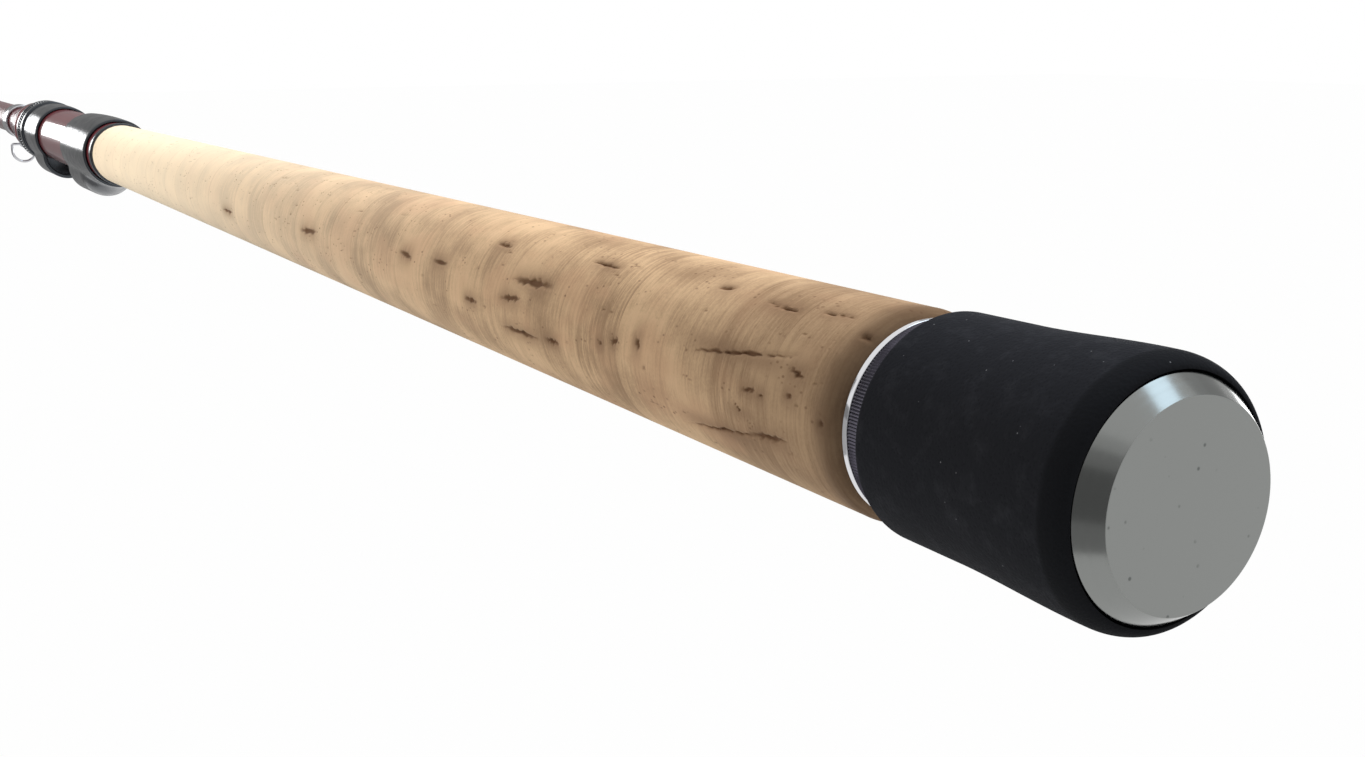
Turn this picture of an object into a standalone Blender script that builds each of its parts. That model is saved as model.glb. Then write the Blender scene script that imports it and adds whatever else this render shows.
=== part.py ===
"""Feeder rod: a cork and foam handle with its reel seat, three blank sections and a quiver tip.

The rod lies along the X axis. Its butt points to +X, its tip to -X, and the reel and the guides
hang below it, towards -Z. The origin is on the rod's axis at the middle of the reel deck, where
the hand holds the rod. A station is a distance from the butt cap's face towards the tip.
"""
import math
from typing import NamedTuple

import bmesh
import bpy
from mathutils import Matrix, Vector

MM = 0.001

# Clearances
GAP = 0.3 * MM
RUN_OUT = 10 * MM

# Butt cap, a turned aluminium plug
CAP_FACE_RADIUS = 10.65 * MM
CAP_RADIUS = 12.5 * MM
CAP_CHAMFER_DEPTH = 2.66 * MM
CAP_FLANGE_LENGTH = 8.0 * MM
CAP_STEM_RADIUS = 3.4 * MM
CAP_STEM_LENGTH = 22.0 * MM

# Foam butt grip
FOAM_LIP_PROUD = 0.36 * MM
FOAM_LIP_WALL = 0.3 * MM
FOAM_SWELL_RISE = 0.95 * MM
FOAM_FRONT_RADIUS = 13.2 * MM
FOAM_LENGTH = 32.6 * MM
FOAM_TAPER_LENGTH = 18.0 * MM
FOAM_EDGE_ROUND = 3.2 * MM
FOAM_EDGE_STEPS = 3
FOAM_FRONT_ROUND = 0.6 * MM

# Trim rings between foam and cork
TRIM_RADIUS = 11.85 * MM
KNURLED_RING_WIDTH = 2.6 * MM
POLISHED_RING_WIDTH = 0.9 * MM

# Cork grip
CORK_LENGTH = 440.0 * MM
CORK_BUTT_RADIUS = 12.65 * MM
CORK_SEAT_RADIUS = 10.0 * MM
CORK_SHOULDER_ROUND = 2.4 * MM
CORK_SEAT_ROUND = 0.8 * MM
CORK_ROUND_STEPS = 4

# Reel seat
CHECK_WIDTH = 3.0 * MM
CHECK_STEP = 0.2 * MM
BARREL_WALL = 2.5 * MM
DECK_CUT = 1.3 * MM
DECK_LENGTH = 54.0 * MM
DECK_END_STEP = 0.3 * MM
THREAD_PITCH = 2.0 * MM
THREAD_DEPTH = 0.5 * MM
THREAD_SPARE = 18.0 * MM
THREAD_COLLAR = 3.7 * MM
HOOD_WALL = 1.2 * MM
HOOD_BULGE_RADIUS = 9.2 * MM
HOOD_BULGE_END_RADIUS = 4.4 * MM
HOOD_BULGE_WALL = 1.4 * MM
HOOD_POCKET_DEPTH = 21.0 * MM
FIXED_HOOD_SETBACK = 4.0 * MM
FIXED_HOOD_LENGTH = 46.0 * MM
MOVING_HOOD_LENGTH = 30.0 * MM
MOVING_HOOD_TRAVEL = 16.0 * MM
DECK_MARGIN = 1.0 * MM
NUT_LENGTH = 14.0 * MM
NUT_WALL = 1.6 * MM
NUT_GROOVES = 2
NUT_GROOVE_DEPTH = 0.6 * MM
NUT_GROOVE_WIDTH = 2.0 * MM
ARBOR_ROOM = 0.8 * MM
ARBOR_LENGTH = 30.0 * MM
ARBOR_INSET = 8.0 * MM
FORE_CHECK_LENGTH = 6.0 * MM
FORE_CHECK_COLLAR = 2.0 * MM

# Blank sections: lengths, overlaps at the joints, outer radii and walls
BUTT_BLANK_LENGTH = 1221.7 * MM
BUTT_BLANK_RADIUS = 7.2 * MM
BUTT_BLANK_END_RADIUS = 6.0 * MM
BUTT_BLANK_WALL = 1.3 * MM
MID_OVERLAP = 80.0 * MM
MID_LENGTH = 1180.0 * MM
MID_END_RADIUS = 4.2 * MM
MID_WALL = 1.0 * MM
MID_SOCKET_WALL = 1.5 * MM
TIP_OVERLAP = 70.0 * MM
TIP_LENGTH = 820.0 * MM
TIP_END_RADIUS = 2.9 * MM
TIP_SOCKET_WALL = 1.35 * MM
QUIVER_OVERLAP = 50.0 * MM
QUIVER_LENGTH = 570.0 * MM
QUIVER_BASE_RADIUS = 1.6 * MM
QUIVER_END_RADIUS = 0.75 * MM
SOCKET_WRAP_LENGTH = 34.0 * MM
WRAP_WALL = 0.4 * MM
PLUG_LENGTH = 20.0 * MM

# Hook keeper: its distance from the reel seat, band, ear, and the wire loop in the ear
KEEPER_SETBACK = 43.8 * MM
KEEPER_BAND_LENGTH = 12.0 * MM
KEEPER_BAND_WALL = 0.8 * MM
KEEPER_EAR_WIDTH = 3.0 * MM
KEEPER_EAR_HEIGHT = 4.2 * MM
KEEPER_EAR_EDGE = 0.8 * MM
KEEPER_WIRE_RADIUS = 0.6 * MM
KEEPER_PLAY = 0.4 * MM
KEEPER_LOOP_RADIUS = 5.0 * MM
KEEPER_LOOP_SIDE = 3.0 * MM
KEEPER_STEPS = 8
KEEPER_HOLE_SEGMENTS = 12


class Guide(NamedTuple):
    """One guide: its section, how far it sits before that section's visible end, and its sizes.

    The opening and the thickness are radii of the ceramic ring, and the stand-off is the height
    of the wire loop's top below its foot. A braced guide has a second foot, towards the tip.
    """

    name: str
    section: str
    setback: float
    opening: float
    thickness: float
    wire_radius: float
    stand_off: float
    braced: bool


GUIDES = (
    Guide("butt_guide", "butt", 60 * MM, 10.0 * MM, 1.5 * MM, 0.95 * MM, 6.5 * MM, True),
    Guide("mid_guide_1", "mid", 820 * MM, 7.5 * MM, 1.3 * MM, 0.85 * MM, 4.6 * MM, True),
    Guide("mid_guide_2", "mid", 470 * MM, 5.5 * MM, 1.1 * MM, 0.70 * MM, 3.8 * MM, False),
    Guide("mid_guide_3", "mid", 150 * MM, 4.5 * MM, 1.0 * MM, 0.60 * MM, 2.7 * MM, False),
    Guide("tip_guide_1", "tip", 660 * MM, 4.0 * MM, 0.9 * MM, 0.55 * MM, 2.0 * MM, False),
    Guide("tip_guide_2", "tip", 400 * MM, 3.5 * MM, 0.8 * MM, 0.50 * MM, 1.5 * MM, False),
    Guide("tip_guide_3", "tip", 180 * MM, 3.0 * MM, 0.8 * MM, 0.50 * MM, 1.2 * MM, False),
    Guide("quiver_guide_1", "quiver", 430 * MM, 2.3 * MM, 0.6 * MM, 0.40 * MM, 1.0 * MM, False),
    Guide("quiver_guide_2", "quiver", 270 * MM, 1.9 * MM, 0.6 * MM, 0.40 * MM, 0.8 * MM, False),
    Guide("quiver_guide_3", "quiver", 130 * MM, 1.6 * MM, 0.5 * MM, 0.35 * MM, 0.6 * MM, False),
)
TOP_RING_RADIUS = 1.6 * MM
TOP_RING_THICKNESS = 0.5 * MM
TOP_WIRE_RADIUS = 0.35 * MM
TOP_STAND_OFF = 0.6 * MM
TOP_OVERHANG = 3.0 * MM
TOP_TUBE_LENGTH = 12.0 * MM
FOOT_LENGTH_FACTOR = 18.0
FOOT_MIN_LENGTH = 8.0 * MM
LEG_LEAN = 0.55
BRACE_LEAN = 1.1
LOOP_STEPS = 12

# Facets
GRIP_SEGMENTS = 32
BLANK_SEGMENTS = 16
TRIM_SEGMENTS = 16
RING_SEGMENTS = 16
RING_SIDES = 6
SHARP_ANGLE = math.radians(40)

# Radii worked out from the sizes above: each piece of the reel seat goes round the one inside it
BARREL_BORE_RADIUS = BUTT_BLANK_RADIUS + ARBOR_ROOM
BARREL_RADIUS = BARREL_BORE_RADIUS + BARREL_WALL
DECK_HEIGHT = BARREL_RADIUS - DECK_CUT
CHECK_RADIUS = BARREL_RADIUS + CHECK_STEP
HOOD_RADIUS = BARREL_RADIUS + GAP + HOOD_WALL
HOOD_BULGE_DROP = HOOD_RADIUS - HOOD_BULGE_END_RADIUS
NUT_RADIUS = BARREL_RADIUS + GAP + NUT_WALL
FOAM_LIP_RADIUS = CAP_RADIUS + GAP + FOAM_LIP_WALL
FOAM_SWELL_RADIUS = FOAM_LIP_RADIUS + FOAM_SWELL_RISE
MID_MOUTH_RADIUS = BUTT_BLANK_END_RADIUS + GAP + MID_SOCKET_WALL
TIP_MOUTH_RADIUS = MID_END_RADIUS + GAP + TIP_SOCKET_WALL
KEEPER_HOLE_RADIUS = KEEPER_WIRE_RADIUS + KEEPER_PLAY

# Stations worked out from the sizes above
FOAM_LIP_STATION = CAP_CHAMFER_DEPTH - FOAM_LIP_PROUD
FOAM_FRONT = FOAM_LIP_STATION + FOAM_LENGTH
KNURLED_START = FOAM_FRONT + GAP
POLISHED_START = KNURLED_START + KNURLED_RING_WIDTH + GAP
CORK_START = POLISHED_START + POLISHED_RING_WIDTH + GAP
CORK_END = CORK_START + CORK_LENGTH
CHECK_START = CORK_END + GAP
BARREL_START = CHECK_START + CHECK_WIDTH + GAP
FIXED_HOOD_START = BARREL_START + FIXED_HOOD_SETBACK
FIXED_HOOD_MOUTH = FIXED_HOOD_START + FIXED_HOOD_LENGTH
DECK_START = FIXED_HOOD_MOUTH + DECK_MARGIN
DECK_END = DECK_START + DECK_LENGTH
MOVING_HOOD_MOUTH = DECK_END + DECK_MARGIN
MOVING_HOOD_END = MOVING_HOOD_MOUTH + MOVING_HOOD_LENGTH
NUT_START = MOVING_HOOD_END + GAP
NUT_END = NUT_START + NUT_LENGTH
THREAD_START = NUT_START - MOVING_HOOD_TRAVEL
THREAD_END = NUT_END + THREAD_SPARE
BARREL_END = THREAD_END + THREAD_COLLAR
FORE_CHECK_START = BARREL_END + GAP
FORE_CHECK_END = FORE_CHECK_START + FORE_CHECK_LENGTH
KEEPER_STATION = FORE_CHECK_END + KEEPER_SETBACK
REEL_STATION = (DECK_START + DECK_END) / 2
BUTT_BLANK_START = CAP_FLANGE_LENGTH + GAP
BUTT_BLANK_END = BUTT_BLANK_START + BUTT_BLANK_LENGTH
MID_START = BUTT_BLANK_END - MID_OVERLAP
MID_END = MID_START + MID_LENGTH
TIP_START = MID_END - TIP_OVERLAP
TIP_END = TIP_START + TIP_LENGTH
QUIVER_START = TIP_END - QUIVER_OVERLAP
QUIVER_END = QUIVER_START + QUIVER_LENGTH

# Each blank's taper: start, end, outer radius at the start and at the end
BLANKS = {
    "butt": (BUTT_BLANK_START, BUTT_BLANK_END, BUTT_BLANK_RADIUS, BUTT_BLANK_END_RADIUS),
    "mid": (MID_START, MID_END, MID_MOUTH_RADIUS, MID_END_RADIUS),
    "tip": (TIP_START, TIP_END, TIP_MOUTH_RADIUS, TIP_END_RADIUS),
    "quiver": (TIP_END, QUIVER_END, QUIVER_BASE_RADIUS, QUIVER_END_RADIUS),
}

# Where each section stops being seen: at the next section's mouth, or at the rod's tip
VISIBLE_ENDS = {"butt": MID_START, "mid": TIP_START, "tip": TIP_END, "quiver": QUIVER_END}

# Colours as linear RGB, roughness and metallic value
FINISHES = {
    "satin_aluminium": ((0.42, 0.42, 0.41), 0.34, 1.0),
    "black_foam": ((0.012, 0.012, 0.014), 0.92, 0.0),
    "polished_steel": ((0.62, 0.62, 0.64), 0.12, 1.0),
    "cork": ((0.50, 0.33, 0.19), 0.85, 0.0),
    "gunmetal": ((0.12, 0.12, 0.13), 0.28, 1.0),
    "burgundy_lacquer": ((0.11, 0.012, 0.016), 0.18, 0.0),
    "whipping_thread": ((0.020, 0.020, 0.024), 0.30, 0.0),
    "guide_steel": ((0.50, 0.50, 0.52), 0.22, 1.0),
    "guide_ceramic": ((0.03, 0.03, 0.035), 0.15, 0.0),
    "arbor_fibre": ((0.55, 0.47, 0.32), 0.80, 0.0),
    "plug_nylon": ((0.05, 0.05, 0.05), 0.55, 0.0),
    "quiver_orange": ((0.80, 0.16, 0.02), 0.35, 0.0),
}


def clear_scene():
    """Remove whatever the scene holds."""
    for scene_object in list(bpy.data.objects):
        bpy.data.objects.remove(scene_object, do_unlink=True)


def new_collection(name):
    collection = bpy.data.collections.new(name)
    bpy.context.scene.collection.children.link(collection)
    return collection


def finish_material(finish):
    """Return the Principled material of one finish."""
    material = bpy.data.materials.get(finish)
    if material:
        return material
    colour, roughness, metallic = FINISHES[finish]
    material = bpy.data.materials.new(finish)
    material.use_nodes = True
    shader = material.node_tree.nodes["Principled BSDF"]
    shader.inputs["Base Color"].default_value = (*colour, 1.0)
    shader.inputs["Roughness"].default_value = roughness
    shader.inputs["Metallic"].default_value = metallic
    material.diffuse_color = (*colour, 1.0)
    return material


def link(scene_object, finish):
    """Put a part in the rod's collection with a material of its own."""
    PARTS.objects.link(scene_object)
    material = finish_material(finish).copy()
    material.name = f"{scene_object.name}_{finish}"
    scene_object.data.materials.append(material)
    return scene_object


def link_cutter(scene_object):
    """Put a cutter in its own collection, drawn as wires and left out of renders."""
    CUTTERS.objects.link(scene_object)
    scene_object.hide_render = True
    scene_object.display_type = "WIRE"
    return scene_object


def x_at(station):
    """World X of a station along the rod."""
    return REEL_STATION - station


def taper(station, start, end, start_radius, end_radius):
    """Radius of a straight taper at a station."""
    share = (station - start) / (end - start)
    return start_radius + share * (end_radius - start_radius)


def arc_points(centre, radius, first, last, count):
    """Points (station, radius) on an arc, angles in degrees from the tip's direction outwards."""
    points = []
    for index in range(count):
        angle = math.radians(first + (last - first) * index / (count - 1))
        across = centre[0] + radius * math.cos(angle)
        points.append((across, centre[1] + radius * math.sin(angle)))
    return points


def turned(name, profile, segments, closed=True):
    """Turn a profile of (station, radius) points about the rod's axis.

    The profile runs along the outer side from the butt towards the tip and, for a bored piece,
    back along the bore. A solid piece starts and ends on the axis and isn't closed.
    """
    start = profile[0][0]
    mesh = bpy.data.meshes.new(name)
    vertices = [(radius, 0.0, start - station) for station, radius in profile]
    edges = [(index, index + 1) for index in range(len(vertices) - 1)]
    if closed:
        edges.append((len(vertices) - 1, 0))
    mesh.from_pydata(vertices, edges, [])
    piece = bpy.data.objects.new(name, mesh)
    piece.location = (x_at(start), 0.0, 0.0)
    piece.rotation_euler = (0.0, math.pi / 2, 0.0)
    screw = piece.modifiers.new("Turn", "SCREW")
    screw.angle = 2 * math.pi
    screw.steps = segments
    screw.render_steps = segments
    screw.use_merge_vertices = True
    screw.merge_threshold = 0.00001
    screw.use_smooth_shade = True
    return piece


def sleeve(name, start, end, outer, bore, segments, end_outer=None, end_bore=None):
    """A tube between two stations, straight or tapered."""
    last_outer = outer if end_outer is None else end_outer
    last_bore = bore if end_bore is None else end_bore
    profile = [(start, outer), (end, last_outer), (end, last_bore), (start, bore)]
    return turned(name, profile, segments)


def block(name, centre, size):
    """A box by its world centre and size."""
    mesh = bpy.data.meshes.new(name)
    shape = bmesh.new()
    bmesh.ops.create_cube(shape, size=1.0, matrix=Matrix.Diagonal((*size, 1.0)))
    shape.to_mesh(mesh)
    shape.free()
    piece = bpy.data.objects.new(name, mesh)
    piece.location = centre
    return piece


def cone(name, start, end, start_radius, end_radius, drop, segments):
    """A cylinder or cone along the rod between two stations, its axis dropped below the rod's."""
    mesh = bpy.data.meshes.new(name)
    shape = bmesh.new()
    bmesh.ops.create_cone(
        shape, cap_ends=True, segments=segments, radius1=end_radius, radius2=start_radius,
        depth=end - start,
    )
    shape.to_mesh(mesh)
    shape.free()
    mesh.shade_smooth()
    mesh.set_sharp_from_angle(angle=SHARP_ANGLE)
    piece = bpy.data.objects.new(name, mesh)
    piece.location = (x_at((start + end) / 2), 0.0, -drop)
    piece.rotation_euler = (0.0, math.pi / 2, 0.0)
    return piece


def boolean(target, other, operation):
    """Join or cut a piece with another object, which becomes a guide object."""
    link_cutter(other)
    modifier = target.modifiers.new(f"{operation.title()} {other.name}", "BOOLEAN")
    modifier.operation = operation
    modifier.object = other
    return target


def wire(name, points, radius, cyclic=False, resolution=1):
    """A round wire through points in the frame of its own origin."""
    curve = bpy.data.curves.new(name, "CURVE")
    curve.dimensions = "3D"
    curve.bevel_depth = radius
    curve.bevel_resolution = resolution
    curve.use_fill_caps = True
    spline = curve.splines.new("POLY")
    spline.points.add(len(points) - 1)
    for point, place in zip(spline.points, points):
        point.co = (*place, 1.0)
    spline.use_cyclic_u = cyclic
    return bpy.data.objects.new(name, curve)


def ring(name, station, centre_height, opening, thickness, segments=RING_SEGMENTS):
    """A guide's ceramic ring, its hole along the rod."""
    bpy.ops.mesh.primitive_torus_add(
        major_segments=segments, minor_segments=RING_SIDES,
        major_radius=opening + thickness, minor_radius=thickness,
    )
    torus = bpy.context.object
    torus.name = name
    torus.location = (x_at(station), 0.0, centre_height)
    torus.rotation_euler = (0.0, math.pi / 2, 0.0)
    torus.data.shade_smooth()
    for collection in list(torus.users_collection):
        collection.objects.unlink(torus)
    return torus


def blank_radius(section, station):
    """Outer radius of a blank section at a station."""
    start, end, start_radius, end_radius = BLANKS[section]
    return taper(station, start, end, start_radius, end_radius)


def mid_socket_radius(station):
    """Bore of the middle section's socket, which slides over the butt section's end."""
    return blank_radius("butt", station) + GAP


def tip_socket_radius(station):
    """Bore of the top section's socket, which slides over the middle section's end."""
    return blank_radius("mid", station) + GAP


def make_butt_cap():
    """Turned aluminium plug: flat face, chamfered rim, flange and stem."""
    flange_back = CAP_FLANGE_LENGTH
    profile = [
        (0.0, 0.0),
        (0.0, CAP_FACE_RADIUS),
        (CAP_CHAMFER_DEPTH, CAP_RADIUS),
        (flange_back, CAP_RADIUS),
        (flange_back, CAP_STEM_RADIUS),
        (flange_back + CAP_STEM_LENGTH, CAP_STEM_RADIUS),
        (flange_back + CAP_STEM_LENGTH, 0.0),
    ]
    link(turned("butt_cap", profile, GRIP_SEGMENTS, closed=False), "satin_aluminium")


def make_butt_plug():
    """Nylon plug in the blank's end that takes the cap's stem."""
    start = BUTT_BLANK_START + GAP
    end = start + PLUG_LENGTH
    outer = blank_radius("butt", end) - BUTT_BLANK_WALL - GAP
    bore = CAP_STEM_RADIUS + GAP
    link(sleeve("butt_plug", start, end, outer, bore, TRIM_SEGMENTS), "plug_nylon")


def make_butt_grip():
    """Foam grip: a lip round the cap, a swell, a light taper and a rounded front edge."""
    lip = (FOAM_LIP_STATION, FOAM_LIP_RADIUS)
    swell_station = FOAM_LIP_STATION + FOAM_EDGE_ROUND
    profile = [lip]
    rise = FOAM_SWELL_RADIUS - FOAM_LIP_RADIUS
    for step in range(1, FOAM_EDGE_STEPS + 1):
        angle = math.pi / 2 * step / FOAM_EDGE_STEPS
        across = FOAM_EDGE_ROUND * (1 - math.cos(angle))
        profile.append((FOAM_LIP_STATION + across, FOAM_LIP_RADIUS + rise * math.sin(angle)))
    profile.append((swell_station + FOAM_TAPER_LENGTH, FOAM_FRONT_RADIUS))
    profile.append((FOAM_FRONT - FOAM_FRONT_ROUND, FOAM_FRONT_RADIUS))
    profile.append((FOAM_FRONT, FOAM_FRONT_RADIUS - FOAM_FRONT_ROUND))
    bore = blank_radius("butt", CAP_FLANGE_LENGTH) + GAP
    recess = CAP_RADIUS + GAP
    recess_end = CAP_FLANGE_LENGTH + GAP
    profile.append((FOAM_FRONT, bore))
    profile.append((recess_end, bore))
    profile.append((recess_end, recess))
    profile.append((FOAM_LIP_STATION, recess))
    link(turned("butt_grip", profile, GRIP_SEGMENTS), "black_foam")


def make_trim_rings():
    """The knurled ring and the narrow polished ring between foam and cork."""
    bore = blank_radius("butt", KNURLED_START) + GAP
    knurled_end = KNURLED_START + KNURLED_RING_WIDTH
    polished_end = POLISHED_START + POLISHED_RING_WIDTH
    knurled = sleeve("knurled_ring", KNURLED_START, knurled_end, TRIM_RADIUS, bore, GRIP_SEGMENTS)
    link(knurled, "gunmetal")
    polished = sleeve(
        "polished_ring", POLISHED_START, polished_end, TRIM_RADIUS, bore, GRIP_SEGMENTS,
    )
    link(polished, "polished_steel")


def make_cork_grip():
    """Glued cork discs, turned in one: a rounded shoulder and a long straight taper."""
    round_radius = CORK_SHOULDER_ROUND
    shoulder = arc_points(
        (CORK_START + round_radius, CORK_BUTT_RADIUS - round_radius), round_radius, 180, 90,
        CORK_ROUND_STEPS,
    )
    end_round = arc_points(
        (CORK_END - CORK_SEAT_ROUND, CORK_SEAT_RADIUS - CORK_SEAT_ROUND), CORK_SEAT_ROUND, 90, 0,
        CORK_ROUND_STEPS - 1,
    )
    start_bore = blank_radius("butt", CORK_START) + GAP
    end_bore = blank_radius("butt", CORK_END) + GAP
    profile = shoulder + end_round + [(CORK_END, end_bore), (CORK_START, start_bore)]
    link(turned("rear_cork_grip", profile, GRIP_SEGMENTS), "cork")


def make_rear_check():
    """Winding check that closes the cork against the reel seat."""
    end = CHECK_START + CHECK_WIDTH
    bore = blank_radius("butt", CHECK_START) + GAP
    link(
        sleeve("rear_winding_check", CHECK_START, end, CHECK_RADIUS, bore, GRIP_SEGMENTS),
        "gunmetal",
    )


def make_barrel():
    """Reel seat barrel: thread for the nut, and a flat deck below with a step at both its ends.

    The thread is drawn as level turns of its real pitch, from where the closed nut stops to the
    collar at the barrel's fore end.
    """
    profile = [(BARREL_START, BARREL_RADIUS), (THREAD_START, BARREL_RADIUS)]
    for turn in range(int((THREAD_END - THREAD_START) / THREAD_PITCH)):
        crest = THREAD_START + turn * THREAD_PITCH
        profile.append((crest + THREAD_PITCH / 2, BARREL_RADIUS - THREAD_DEPTH))
        profile.append((crest + THREAD_PITCH, BARREL_RADIUS))
    profile.append((BARREL_END, BARREL_RADIUS))
    profile.append((BARREL_END, BARREL_BORE_RADIUS))
    profile.append((BARREL_START, BARREL_BORE_RADIUS))
    barrel = turned("reel_seat_barrel", profile, GRIP_SEGMENTS)
    depth = BARREL_RADIUS
    width = 2 * BARREL_RADIUS + 2 * GAP
    deck = block(
        "deck_cutter",
        (x_at(REEL_STATION), 0.0, -DECK_HEIGHT - depth / 2),
        (DECK_LENGTH, width, depth),
    )
    boolean(barrel, deck, "DIFFERENCE")
    step_height = DECK_HEIGHT - DECK_END_STEP
    pocket_start = FIXED_HOOD_MOUTH - HOOD_POCKET_DEPTH
    steps = (
        ("rear_step_cutter", pocket_start, DECK_START),
        ("fore_step_cutter", DECK_END, NUT_END),
    )
    for name, start, end in steps:
        step = block(
            name,
            (x_at((start + end) / 2), 0.0, -step_height - depth / 2),
            (end - start, width, depth),
        )
        boolean(barrel, step, "DIFFERENCE")
    link(barrel, "burgundy_lacquer")


def make_hood(name, closed_end, mouth, finish):
    """A hood: a sleeve on the barrel with a bulge below whose pocket opens at the mouth."""
    bore = BARREL_RADIUS + GAP
    towards = 1 if mouth > closed_end else -1
    start, end = sorted((closed_end, mouth))
    hood = cone(name, start, end, HOOD_RADIUS, HOOD_RADIUS, 0.0, GRIP_SEGMENTS)

    shoulder = mouth - towards * (HOOD_POCKET_DEPTH + HOOD_BULGE_WALL)
    bulge_profile = [
        (closed_end + towards * GAP, 0.0),
        (closed_end + towards * GAP, HOOD_BULGE_END_RADIUS),
        (shoulder, HOOD_BULGE_RADIUS),
        (mouth - towards * GAP, HOOD_BULGE_RADIUS),
        (mouth - towards * GAP, 0.0),
    ]
    if towards < 0:
        bulge_profile.reverse()
    bulge = turned(f"{name}_bulge", bulge_profile, GRIP_SEGMENTS, closed=False)
    bulge.location.z = -HOOD_BULGE_DROP
    boolean(hood, bulge, "UNION")

    pocket_radius = HOOD_BULGE_RADIUS - HOOD_BULGE_WALL
    first, last = sorted((mouth - towards * HOOD_POCKET_DEPTH, mouth + towards * RUN_OUT))
    pocket = cone(
        f"{name}_pocket", first, last, pocket_radius, pocket_radius, HOOD_BULGE_DROP, GRIP_SEGMENTS,
    )
    boolean(hood, pocket, "DIFFERENCE")
    bore_cutter = cone(
        f"{name}_bore", start - RUN_OUT, end + RUN_OUT, bore, bore, 0.0, GRIP_SEGMENTS,
    )
    boolean(hood, bore_cutter, "DIFFERENCE")
    hood.data.shade_smooth()
    link(hood, finish)


def make_lock_nut():
    """Lock nut with two turned grooves, running on the barrel's thread."""
    groove_radius = NUT_RADIUS - NUT_GROOVE_DEPTH
    bore = BARREL_RADIUS + GAP
    profile = [(NUT_START, NUT_RADIUS)]
    for index in range(NUT_GROOVES):
        middle = NUT_START + NUT_LENGTH * (index + 1) / (NUT_GROOVES + 1)
        first, last = middle - NUT_GROOVE_WIDTH / 2, middle + NUT_GROOVE_WIDTH / 2
        profile += [(first, NUT_RADIUS), (first, groove_radius)]
        profile += [(last, groove_radius), (last, NUT_RADIUS)]
    profile += [(NUT_END, NUT_RADIUS), (NUT_END, bore), (NUT_START, bore)]
    link(turned("lock_nut", profile, GRIP_SEGMENTS), "gunmetal")


def make_arbors():
    """Two fibre bushes that centre the blank in the reel seat."""
    starts = {
        "seat_arbor_rear": BARREL_START + ARBOR_INSET,
        "seat_arbor_fore": BARREL_END - ARBOR_INSET - ARBOR_LENGTH,
    }
    for name, start in starts.items():
        bore = blank_radius("butt", start) + GAP
        outer = BARREL_BORE_RADIUS - GAP
        link(sleeve(name, start, start + ARBOR_LENGTH, outer, bore, TRIM_SEGMENTS), "arbor_fibre")


def make_fore_check():
    """Conical winding check where the blank leaves the reel seat."""
    bore = blank_radius("butt", FORE_CHECK_START) + GAP
    profile = [
        (FORE_CHECK_START, BARREL_RADIUS),
        (FORE_CHECK_START + FORE_CHECK_COLLAR, BARREL_RADIUS),
        (FORE_CHECK_END, bore + WRAP_WALL),
        (FORE_CHECK_END, bore),
        (FORE_CHECK_START, bore),
    ]
    link(turned("fore_winding_check", profile, GRIP_SEGMENTS), "gunmetal")


def make_blanks():
    """The three hollow carbon sections and the solid quiver tip."""
    butt = sleeve(
        "butt_blank", BUTT_BLANK_START, BUTT_BLANK_END, BUTT_BLANK_RADIUS,
        BUTT_BLANK_RADIUS - BUTT_BLANK_WALL, BLANK_SEGMENTS, end_outer=BUTT_BLANK_END_RADIUS,
        end_bore=BUTT_BLANK_END_RADIUS - BUTT_BLANK_WALL,
    )
    link(butt, "burgundy_lacquer")

    seated = BUTT_BLANK_END
    mid_profile = [
        (MID_START, blank_radius("mid", MID_START)),
        (MID_END, MID_END_RADIUS),
        (MID_END, MID_END_RADIUS - MID_WALL),
        (seated + GAP, mid_socket_radius(seated)),
        (MID_START, mid_socket_radius(MID_START)),
    ]
    link(turned("mid_blank", mid_profile, BLANK_SEGMENTS), "burgundy_lacquer")

    tip_seated = MID_END
    quiver_bore = QUIVER_BASE_RADIUS + GAP
    quiver_stop = QUIVER_START - GAP
    tip_profile = [
        (TIP_START, blank_radius("tip", TIP_START)),
        (TIP_END, TIP_END_RADIUS),
        (TIP_END, quiver_bore),
        (quiver_stop, quiver_bore),
        (tip_seated + GAP, tip_socket_radius(tip_seated)),
        (TIP_START, tip_socket_radius(TIP_START)),
    ]
    link(turned("tip_blank", tip_profile, BLANK_SEGMENTS), "burgundy_lacquer")

    quiver_profile = [
        (QUIVER_START, 0.0),
        (QUIVER_START, QUIVER_BASE_RADIUS),
        (TIP_END, QUIVER_BASE_RADIUS),
        (QUIVER_END, QUIVER_END_RADIUS),
        (QUIVER_END, 0.0),
    ]
    link(turned("quiver_tip", quiver_profile, BLANK_SEGMENTS, closed=False), "quiver_orange")


def make_wrap(name, section, start, end, slot=None):
    """Whipping: a lacquered thread sleeve on the blank, with a raised, hollow ridge over a foot.

    The slot is (half width, depth below the blank's surface) of the foot that it takes.
    """
    bore = max(blank_radius(section, start), blank_radius(section, end)) + GAP
    outer = bore + WRAP_WALL
    if not slot:
        link(sleeve(name, start, end, outer, bore, TRIM_SEGMENTS), "whipping_thread")
        return
    half_width, depth = slot
    middle = x_at((start + end) / 2)
    wrap = cone(name, start, end, outer, outer, 0.0, TRIM_SEGMENTS)
    ridge = block(
        f"{name}_ridge",
        (middle, 0.0, -(outer + depth) / 2),
        (end - start - 2 * GAP, 2 * (half_width + WRAP_WALL), outer + depth),
    )
    boolean(wrap, ridge, "UNION")
    bore_cutter = cone(
        f"{name}_bore", start - RUN_OUT, end + RUN_OUT, bore, bore, 0.0, TRIM_SEGMENTS,
    )
    boolean(wrap, bore_cutter, "DIFFERENCE")
    slot_cutter = block(
        f"{name}_slot",
        (middle, 0.0, -(bore + depth) / 2),
        (end - start + RUN_OUT, 2 * half_width, bore + depth),
    )
    boolean(wrap, slot_cutter, "DIFFERENCE")
    link(wrap, "whipping_thread")


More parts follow.
